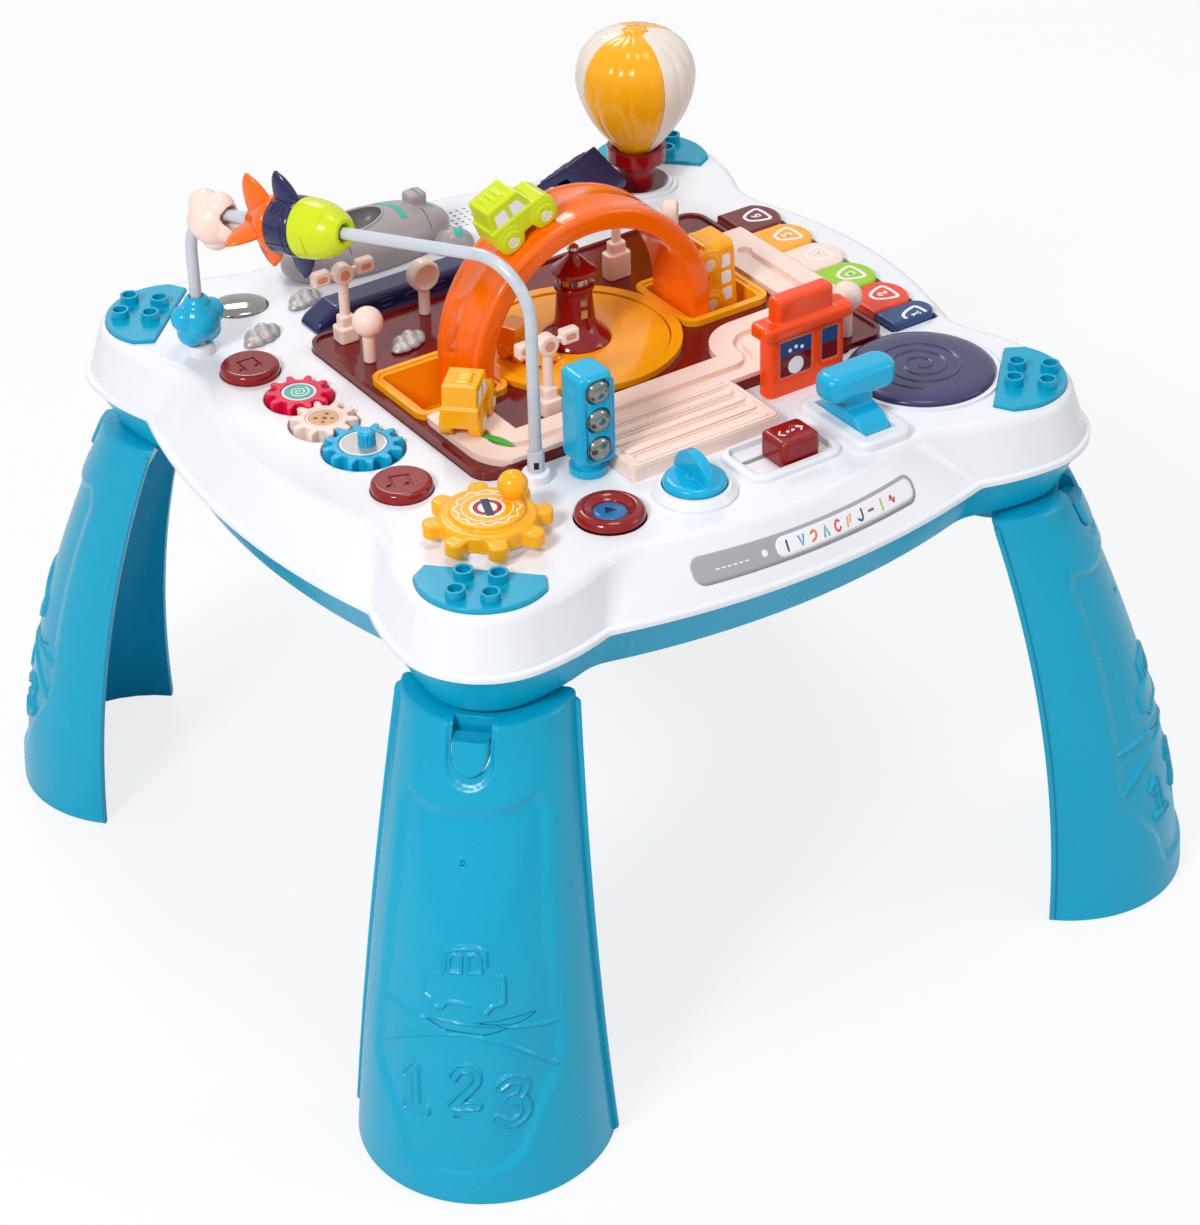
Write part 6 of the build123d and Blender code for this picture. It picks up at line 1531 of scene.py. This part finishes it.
def makeSkirtLabel():
    # pill on the front skirt: grey ground, pale inner pill, small plain strokes in many colours
    tree = faceTree("top_shell")
    ahead, right, above = Vector((0, 1, 0)), Vector((1, 0, 0)), Vector((0, 0, 1))
    origin = Vector((0, -0.3, 0))
    low, high, inset = label["low"], label["high"], label["inset"]
    middle, half = (low + high) / 2, (high - low) / 2

    def pill(x0, x1, grow):
        return roundedOutline(x0 - grow, x1 + grow, low - grow, high + grow, half + grow - 0.01)
    lay = lambda outline, lift, step: wrapped(tree, outline, origin, ahead, right, above, lift,
                                              step)
    makePiece("label_plate", lay(pill(label["left"], label["right"], 0), 0.18, 1.2),
              paint["labelGrey"], "table")
    makePiece("label_pill", lay(pill(label["innerLeft"], label["right"], -inset), 0.3, 1.2),
              paint["print"], "table")
    start, pitch = label["innerLeft"] + 9.0, 7.0
    for index, (look, run) in enumerate(labelMarks):
        x = start + index * pitch
        band = strokeMesh([(a * 0.86, b * 0.86) for a, b in run], 0.95, -0.4, 0.0)
        makePiece(f"label_mark_{index + 1}", draped(band, tree, origin, ahead, right, above,
                                                    (x, middle), 0.42),
                  paint[look], "table")
    dot = discMesh(1.5, -0.4, 0.0)
    makePiece("label_dot", draped(dot, tree, origin, ahead, right, above, (-24.5, middle), 0.3),
              paint["print"], "table")
    thin = joined([strokeMesh([(a, 0), (a + 1.6, 0)], 0.5, -0.4, 0.0) for a in range(-9, 9, 3)],
                  "thin")
    makePiece("label_line",
              draped(thin, tree, origin, ahead, right, above, (-41.0, middle - 0.6), 0.3),
              paint["print"], "table")


def draped(mesh, tree, origin, ahead, right, above, at, lift):
    # a flat mark laid on a surface: its own height becomes distance from the surface
    for vertex in mesh.vertices:
        x, y, z = vertex.co / mm
        start = origin + (right * (at[0] + x) + above * (at[1] + y)) * mm
        hit, _, _, _ = tree.ray_cast(start, ahead)
        vertex.co = hit - ahead * (lift + z) * mm
    return tidyNormals(mesh)


makeSkirtLabel()


def makeRoadLeaf():
    # small green leaf on the road beside the car
    outline = bowed([(-92.5, -56.0), (-90.5, -60.5), (-88.0, -67.0), (-84.6, -73.0), (-83.6, -68.0),
                     (-85.2, -62.0), (-88.6, -57.6), (-92.5, -56.0)], 4)[:-1]
    top = 289.0
    leaf = prismMesh("leaf", outline, top - 0.4, top + 0.25)
    makePiece("road_leaf", leaf, paint["green"], "table")


makeRoadLeaf()


def makeTrafficFrame():
    # raised bezel round the column of lenses
    x, y = -61.4, -102.2
    place = Matrix.Translation((x, y, 290 + 23.5)) @ standing
    ring = strokeMesh(roundedOutline(-8.0, 8.0, -22.0, 22.0, 4.0, 8), 1.0, 9.4, 10.5, place, True)
    makePiece("traffic_bezel", sharpened(ring, 50), paint["cyan"], "traffic_light")


makeTrafficFrame()


def makeWireSleeve():
    # sleeve where the wire enters its near collar; a black plate on it is painted shade for a small
    # slot
    x, y = -85.5, -94.5
    sleeve = latheMesh("sleeve", [(3.0, 286.0), (4.1, 286.0), (4.1, 297.0), (3.6, 298.0),
                                  (3.0, 298.2), (3.0, 286.0)], 48, put(x, y))
    makePiece("wire_sleeve", sharpened(sleeve, 40), paint["wire"], "table")
    slotShade = roundedBlock(-1.2, 1.2, -4.25, -3.6, 289.5, 293.0, 0.3, put(x, y, 0, -30))
    makePiece("wire_sleeve_slot_shade", slotShade, paint["black"], "table")


makeWireSleeve()


def laid(outline, tree, origin, ahead, right, above, lift, step=0.8):
    # a flat outline cut into small cells and laid on a surface
    bm = bmesh.new()
    bm.faces.new([bm.verts.new((x * mm, y * mm, 0)) for x, y in outline])
    for axis, sizes in ((0, [p[0] for p in outline]), (1, [p[1] for p in outline])):
        for at in np.arange(min(sizes) + step * 0.47, max(sizes), step):
            place, along = [0, 0, 0], [0, 0, 0]
            place[axis], along[axis] = at * mm, 1
            bmesh.ops.bisect_plane(bm, geom=bm.verts[:] + bm.edges[:] + bm.faces[:],
                                   plane_co=place, plane_no=along)
    bottom = bmesh.ops.extrude_face_region(bm, geom=bm.faces[:])
    for vertex in [v for v in bottom["geom"] if isinstance(v, bmesh.types.BMVert)]:
        vertex.co.z -= 0.5 * mm
    mesh = bpy.data.meshes.new("laid")
    bm.to_mesh(mesh)
    bm.free()
    return draped(mesh, tree, origin, ahead, right, above, (0, 0), lift)


def makeSubStripes():
    # bands wrapped over the hull
    tree = faceTree("submarine")
    x, y = -34.0, 146.0
    down, right, above = Vector((0, 0, -1)), Vector((1, 0, 0)), Vector((0, 1, 0))
    origin = Vector((x * mm, y * mm, 0.40))
    bands = [bandOutline(bowed([(10.5, 6.5), (15.5, 1.0), (17.5, -5.0), (17.5, -11.6)], 5), 3.4),
             bandOutline(bowed([(37.6, 4.0), (38.6, 0.0), (38.0, -4.0)], 4), 2.6),
             bandOutline(bowed([(42.0, -24.2), (44.6, -19.5), (45.0, -15.5)], 4), 4.2)]
    for index, band in enumerate(bands):
        makePiece(f"sub_band_{index + 1}", laid(band, tree, origin, down, right, above, 0.2),
                  paint["aqua"], "table")
    seams = []
    for x in (-19.0, 31.0):
        run = [(x, y) for y in np.linspace(-18.2, 18.2, 40)]
        seams.append(draped(strokeMesh(run, 0.35, -0.3, 0.0), tree, origin, down, right, above,
                            (0, 0), 0.1))
    makePiece("sub_seams", joined(seams, "subSeams"), paint["black"], "table")


makeSubStripes()
print("marks made")

wireRun = {"start": (-85.5, -94.5), "end": (-153.8, 107.0), "topStart": 395.5, "topEnd": 361.5}
rocket = {
    "noseAt": 109.6, "noseLength": 24.5, "bodyLength": 15.6, "tailLength": 18.6, "gap": 0.4,
    "radius": 14.8, "bore": 3.6, "bodyFin": 28.5, "tailFin": 24.0, "finThick": 5.6,
}


def onWire(distance):
    # a place on the sloping run: z along the wire, y upright, x away from the near side
    (x0, y0), (x1, y1) = wireRun["start"], wireRun["end"]
    size = hypot(x1 - x0, y1 - y0)
    ux, uy = (x1 - x0) / size, (y1 - y0) / size
    rise = (wireRun["topEnd"] - wireRun["topStart"]) / size
    along = Vector((ux, uy, rise)).normalized()
    across = Vector((uy, -ux, 0))
    upright = along.cross(across)
    if upright.z < 0:
        upright = -upright
    spot = Vector((x0 + ux * distance, y0 + uy * distance, wireRun["topStart"] + rise * distance))
    return Matrix.Translation(spot) @ Matrix((across, upright, along)).transposed().to_4x4()


def tubeFaces(around, levels):
    # quads between rings of points, and a face over each end
    faces = [[i * around + k, i * around + (k + 1) % around,
              (i + 1) * around + (k + 1) % around, (i + 1) * around + k]
             for i in range(levels) for k in range(around)]
    return faces + [list(range(around)), list(range(levels * around, (levels + 1) * around))]


def petalMesh(inner, outer, base, half, lean, thick, angle, place):
    # blade with a round tip that leans along the axis; lens-shaped across
    points = []
    around, levels = 20, 22
    for i in range(levels + 1):
        s = i / levels
        radial = inner + (outer - inner) * sin(s * pi / 2)
        share = sin(s * pi / 2)
        width = half * max(0.05, 1 - share ** 1.9) ** 0.62
        middle = base + lean * share ** 1.4
        depth = thick / 2 * max(0.12, 1 - share ** 3) ** 0.5 * (1 - 0.35 * share)
        for k in range(around):
            a = 2 * pi * k / around
            points.append(place @ Matrix.Rotation(angle, 4, "Z") @ Vector(
                (radial, depth * sin(a), middle + width * cos(a) * (1 - 0.06 * sin(a) ** 2))))
    return tidyNormals(meshFrom("petal", points, tubeFaces(around, levels)))


def onBarrel(mesh, radius, middle, angle, place):
    # a flat mark (x round the barrel, y along it) wrapped to a radius
    for vertex in mesh.vertices:
        x, y, z = vertex.co / mm
        r = radius + z
        turn = angle + x / radius
        vertex.co = (place @ Vector((r * cos(turn), r * sin(turn), middle + y))) * mm
    return tidyNormals(mesh)


def finely(run, closed=False, step=0.8):
    # a run with no piece longer than the step
    points = []
    ends = list(zip(run, run[1:] + run[:1])) if closed else list(zip(run, run[1:]))
    for (ax, ay), (bx, by) in ends:
        count = max(1, int(hypot(bx - ax, by - ay) / step))
        points += [(ax + (bx - ax) * i / count, ay + (by - ay) * i / count) for i in range(count)]
    return points if closed else points + [run[-1]]


def makeRocket():
    up, near = pi / 2, pi
    r, bore = rocket["radius"], rocket["bore"]
    length = rocket["noseLength"]
    place = onWire(rocket["noseAt"])
    curve = bowed([(bore + 3.0, 0.0), (9.6, 3.6), (11.9, 7.8), (13.6, 13.0), (14.5, 18.6),
                   (r, length)], 6)
    nose = latheMesh("nose", [(bore + 0.2, 6.0), (bore + 0.6, 1.4), (bore + 1.6, 0.2)] + curve[1:]
                     + [(r - 0.5, length), (bore + 0.2, length), (bore + 0.2, 6.0)], 96, place)
    frame1 = onBarrel(strokeMesh(finely(roundedOutline(-5.2, 5.2, -2.2, 2.2, 1.9, 5), True), 0.8,
                                 -0.6, 0.35, closed=True), 14.2, length - 6.4, near + 0.20, place)
    tip = onBarrel(strokeMesh(finely([(-4.4, 0), (4.4, 0)]), 0.5, -1.4, 0.2), 11.9, 8.2, up + 0.6,
                   place)
    whole = joined([nose, frame1, tip], "noseWhole")
    makePiece("rocket_nose_form", sharpened(whole, 40), paint["lime"], bodyOf["rocket_nose"],
              ["rocket_nose"])
    start = rocket["noseAt"] + length + rocket["gap"]
    place = onWire(start)
    length = rocket["bodyLength"]
    barrel = latheMesh("barrel", [(bore + 0.2, 0), (r - 0.9, 0), (r - 0.2, 0.7), (r, 1.6),
                                  (r, 3.2), (r - 0.5, 3.5), (r - 0.5, 3.8), (r, 4.1),
                                  (r, length - 1.4), (r - 0.4, length - 0.4), (r - 1.1, length),
                                  (bore + 0.2, length), (bore + 0.2, 0)], 96, place)
    parts = [barrel]
    for turn in (up + 0.10, up + pi + 0.10):
        parts.append(petalMesh(r - 3.0, rocket["bodyFin"], 7.4, 8.0, 2.8, rocket["finThick"] + 1.6,
                               turn, place))
    for middle in (6.2, 10.6):
        outline = finely(roundedOutline(-3.4, 3.4, -1.1, 1.1, 1.0, 4), True)
        parts.append(onBarrel(strokeMesh(outline, 0.7, -0.5, 0.45, closed=True), r, middle,
                              up + 0.62, place))
    seam = onBarrel(strokeMesh(finely([(0, 0.6), (0, length - 0.8)]), 0.35, -0.4, 0.12), r, 0,
                    near + 0.28, place)
    makePiece("rocket_body_form", sharpened(joined(parts, "bodyWhole"), 40), paint["navy"],
              bodyOf["rocket_body"], ["rocket_body"])
    makePiece("rocket_body_seam", seam, paint["black"], bodyOf["rocket_body"])
    place = onWire(start + length + rocket["gap"])
    r, length = r - 0.6, rocket["tailLength"]
    curve = bowed([(r, 2.2), (r - 0.9, 5.6), (r * 0.70, 11.4), (r * 0.5, 16.4), (r * 0.42, length)],
                  6)
    barrel = latheMesh("tail", [(bore + 0.2, 0), (r - 0.8, 0), (r - 0.1, 0.8)] + curve
                       + [(bore + 0.2, length), (bore + 0.2, 0)], 96, place)
    parts = [barrel]
    for index in range(4):
        parts.append(petalMesh(6.0, rocket["tailFin"] + 1.0, 10.4, 9.4, 3.4,
                               rocket["finThick"] + 2.0, up + 0.12 + index * pi / 2, place))
    makePiece("rocket_tail_form", sharpened(joined(parts, "tailWhole"), 40), paint["orange"],
              bodyOf["rocket_tail"], ["rocket_tail"])


makeRocket()
print("rocket made")

towerForm = {"base": 287.6, "steps": 96, "profile": [
    (0, 0), (17.8, 0), (18.0, 0.6), (17.6, 1.4), (16.2, 3.2), (13.6, 5.4), (11.6, 7.6), (10.6, 9.8),
    (10.1, 12.0), (8.8, 27.2), (9.2, 27.8), (10.0, 28.4), (10.2, 29.4), (10.0, 30.4), (9.0, 31.0),
    (8.2, 31.4), (8.2, 35.9), (10.2, 36.4), (11.0, 37.0), (11.2, 38.0), (10.8, 38.9), (9.8, 39.4),
    (9.0, 39.7), (2.8, 46.0), (2.5, 46.8), (2.5, 48.2), (0, 48.4)]}


def makeTowerWalls():
    t = towerForm
    body = sharpened(latheMesh("towerWalls", t["profile"], t["steps"], put(0, 0, t["base"])), 32)
    makePiece("lighthouse_walls", body, paint["deepRed"], bodyOf["lighthouse"],
              ["lighthouse"])


makeTowerWalls()


def makeDial():
    # grip disc with an upright half-round vane
    x, y, low = -32.0, -146.9, 282.3
    place = put(x, y, 0)
    disc = latheMesh("dialDisc", [(0, low), (14.8, low), (15.1, low + 0.5), (15.1, 288.4),
                                  (14.7, 289.4), (13.8, 290.1), (12.6, 290.5), (0, 290.5)],
                     96, place)
    points = []
    around, levels = 16, 28
    for i in range(levels + 1):
        angle = pi * (0.02 + 0.96 * i / levels)
        for k in range(around):
            a = 2 * pi * k / around
            reach = 13.9 + 0.9 * min(0.0, cos(a) ** 3)
            along = -reach * cos(angle) * (1.0 if cos(a) > 0 else 0.2)
            height = reach * sin(angle) * (1.0 if cos(a) > 0 else 0.2)
            across = 2.9 * sin(a) * (0.8 + 0.2 * sin(angle))
            points.append(put(x, y, 289.3, 90) @ Vector((along, across, height)))
    vane = tidyNormals(meshFrom("vane", points, tubeFaces(around, levels)))
    foot = latheMesh("foot", [(0, 288.6), (4.0, 288.6), (4.0, 291.0), (0, 291.4)], 32, place)
    body = softened(joined([disc, vane, foot], "dial"), 0.4, 4)
    makePiece("dial_knob_form", body, paint["cyan"], bodyOf["dial_knob"],
              ["dial_knob"])


makeDial()


def makeStartButton():
    # rounded ring, sloping well and a blue disc at its foot
    place = put(-76.3, -142.0, 0)
    body = latheMesh("startRing", [
        (0, 281.6), (15.8, 281.6), (16.5, 282.4), (16.8, 283.4), (16.7, 284.8), (16.0, 286.2),
        (14.6, 287.2), (13.0, 287.5), (11.6, 287.2), (10.4, 286.4), (9.4, 285.6), (8.6, 285.2),
        (8.4, 284.4), (0, 284.3)], 96, place)
    makePiece("start_button_form", sharpened(body, 38), paint["deepRed"], bodyOf["start_button"],
              ["start_button"])
    disc = latheMesh("startDisc", [(0, 284.2), (7.9, 284.2), (7.9, 284.7), (7.4, 285.0),
                                   (4.5, 285.3), (0, 285.4)], 72, place)
    makePiece("start_button_disc", sharpened(disc, 50), paint["buttonBlue"], bodyOf["start_button"])
    arrow = prismMesh("arrow", [(-2.2, -2.8), (3.2, 0.0), (-2.2, 2.8)], 285.1, 285.5,
                      place @ Matrix.Rotation(radians(-33), 4, "Z"))
    makePiece("start_button_arrow", arrow, paint["navy"], bodyOf["start_button"])


makeStartButton()

lamp = {"at": (-61.4, -102.2), "face": -112.2, "heights": (298.3, 313.5, 328.7), "radius": 5.7}


def makeLenses():
    # smoky domes, each in a bright ring
    domes, rings = [], []
    for height in lamp["heights"]:
        place = Matrix.Translation((lamp["at"][0], lamp["face"], height)) @ standing
        r = lamp["radius"]
        profile = [(0, -2.3), (r, -2.3), (r, -0.4)]
        profile += [(r * cos(a), -0.4 + 2.5 * sin(a)) for a in np.linspace(0.12, pi / 2 - 0.12, 9)]
        domes.append(latheMesh("dome", profile + [(0, 2.1)], 48, place))
        rings.append(latheMesh("ring", [(r - 0.1, -1.8), (r + 0.55, -1.8), (r + 0.6, -0.4),
                                        (r + 0.3, 0.15), (r - 0.1, -0.2), (r - 0.1, -1.8)],
                               48, place))
    makePiece("traffic_lens_domes", sharpened(joined(domes, "domes"), 50), paint["smoke"],
              bodyOf["traffic_lenses"], ["traffic_lenses"])
    makePiece("traffic_lens_rings", sharpened(joined(rings, "rings"), 50), paint["chrome"],
              bodyOf["traffic_lenses"])


makeLenses()

crossing = {"west": -51.0, "east": 34.5, "south": -124.5, "north": -84.0, "top": 289.0, "ribs": 4}


def makeCrossing():
    # raised rim and long round-ended ribs on the crossing
    c = crossing
    top = c["top"]
    rim = finely(roundedOutline(c["west"] + 1.5, c["east"] - 1.5, c["south"] + 1.5,
                                c["north"] - 1.5, 2.2, 4), True, 4.0)
    parts = [strokeMesh(rim, 2.0, top - 0.4, top + 1.0, closed=True)]
    low, high = c["south"] + 3.2, c["north"] - 3.2
    pitch = (high - low) / c["ribs"]
    for index in range(c["ribs"]):
        y = low + pitch * (index + 0.5)
        shift = 3.0 * (c["ribs"] - 1 - index) / 3
        outline = finely(roundedOutline(c["west"] + 5.5, c["east"] - 5.5 - shift, y - pitch * 0.36,
                                        y + pitch * 0.36, pitch * 0.359, 6), True, 4.0)
        parts.append(strokeMesh(outline, 1.1, top - 0.4, top + 0.9, closed=True))
    makePiece("crossing_ribs", sharpened(joined(parts, "crossing"), 50), paint["peach"], "table")


makeCrossing()


def makeCockpit():
    # dark bowl in the hull's opening and its rim
    x, y = -34.0, 146.0
    place = Matrix.Translation((x - 11, y - 1, 308)) @ Matrix.Diagonal((20.8, 10.8, 13.8, 1))
    profile = [(cos(a), sin(a)) for a in np.linspace(-pi / 2, 0.1, 20)]
    profile[0] = (0, -1)
    inner = [(r * 0.94, h * 0.94) for r, h in profile[::-1]]
    inner[-1] = (0, -0.94)
    bowl = latheMesh("bowl", profile + inner, 64, place)
    hull = latheMesh("hull", [(cos(a) if abs(abs(a) - pi / 2) > 1e-6 else 0, sin(a)) for a in
                              np.linspace(-pi / 2, pi / 2, 33)], 96,
                     Matrix.Translation((x, y, 290)) @ Matrix.Diagonal((49.9, 21.4, 17.9, 1)))
    bowl = cutBy(bowl, hull, "INTERSECT")
    makePiece("submarine_cockpit", sharpened(bowl, 40), paint["cockpit"], "table")
    rim = []
    for k in range(80):
        a = 2 * pi * k / 80
        u, v = 20.8 * cos(a), 10.8 * sin(a)
        best = min(np.linspace(0.35, 1.0, 66), key=lambda s: abs(
            (308 - 13.8 * sqrt(max(0, 1 - s * s))) - (290 + 17.9 * sqrt(max(
                0, 1 - ((u * s - 11) / 49.9) ** 2 - ((v * s - 1) / 21.4) ** 2)))))
        px, py = u * best - 11, v * best - 1
        z = 290 + 17.9 * sqrt(max(0, 1 - (px / 49.9) ** 2 - (py / 21.4) ** 2))
        rim.append(Vector((x + px, y + py, z)))
    points, faces = [], []
    for k, p in enumerate(rim):
        ahead = (rim[(k + 1) % 80] - rim[k - 1]).normalized()
        out = ahead.cross(Vector((0, 0, 1))).normalized()
        for m in range(8):
            b = 2 * pi * m / 8
            points.append(p + out * 0.8 * cos(b) + Vector((0, 0, 0.7 * sin(b))))
    for k in range(80):
        n = (k + 1) % 80
        faces += [[8 * k + m, 8 * k + (m + 1) % 8, 8 * n + (m + 1) % 8, 8 * n + m]
                  for m in range(8)]
    ring = tidyNormals(meshFrom("cockpitRim", points, faces))
    makePiece("submarine_rim", ring, paint["grey"], "table")


makeCockpit()


def makeSignInsets():
    # darker peach plates in the sign arms and hubs: painted shade for their recesses
    parts = []
    for x, y in ((-91.0, 70.0), (-49.0, -50.0)):
        place = Matrix.Translation((x, y, 285)) @ standing
        for side in (-1, 1):
            outline = roundedOutline(side * 12.5 - 2.4, side * 12.5 + 2.4, 36.8, 39.2, 0.5, 3)
            parts.append(prismMesh("inset", outline, 1.9, 2.9, place))
        parts.append(discMesh(2.7, 2.2, 3.15, place @ Matrix.Translation((0, 37, 0)), 28))
    makePiece("sign_recess_shade", joined(parts, "signRecessShadeMesh"), paint["inset"], "table")


makeSignInsets()
print("small parts made")
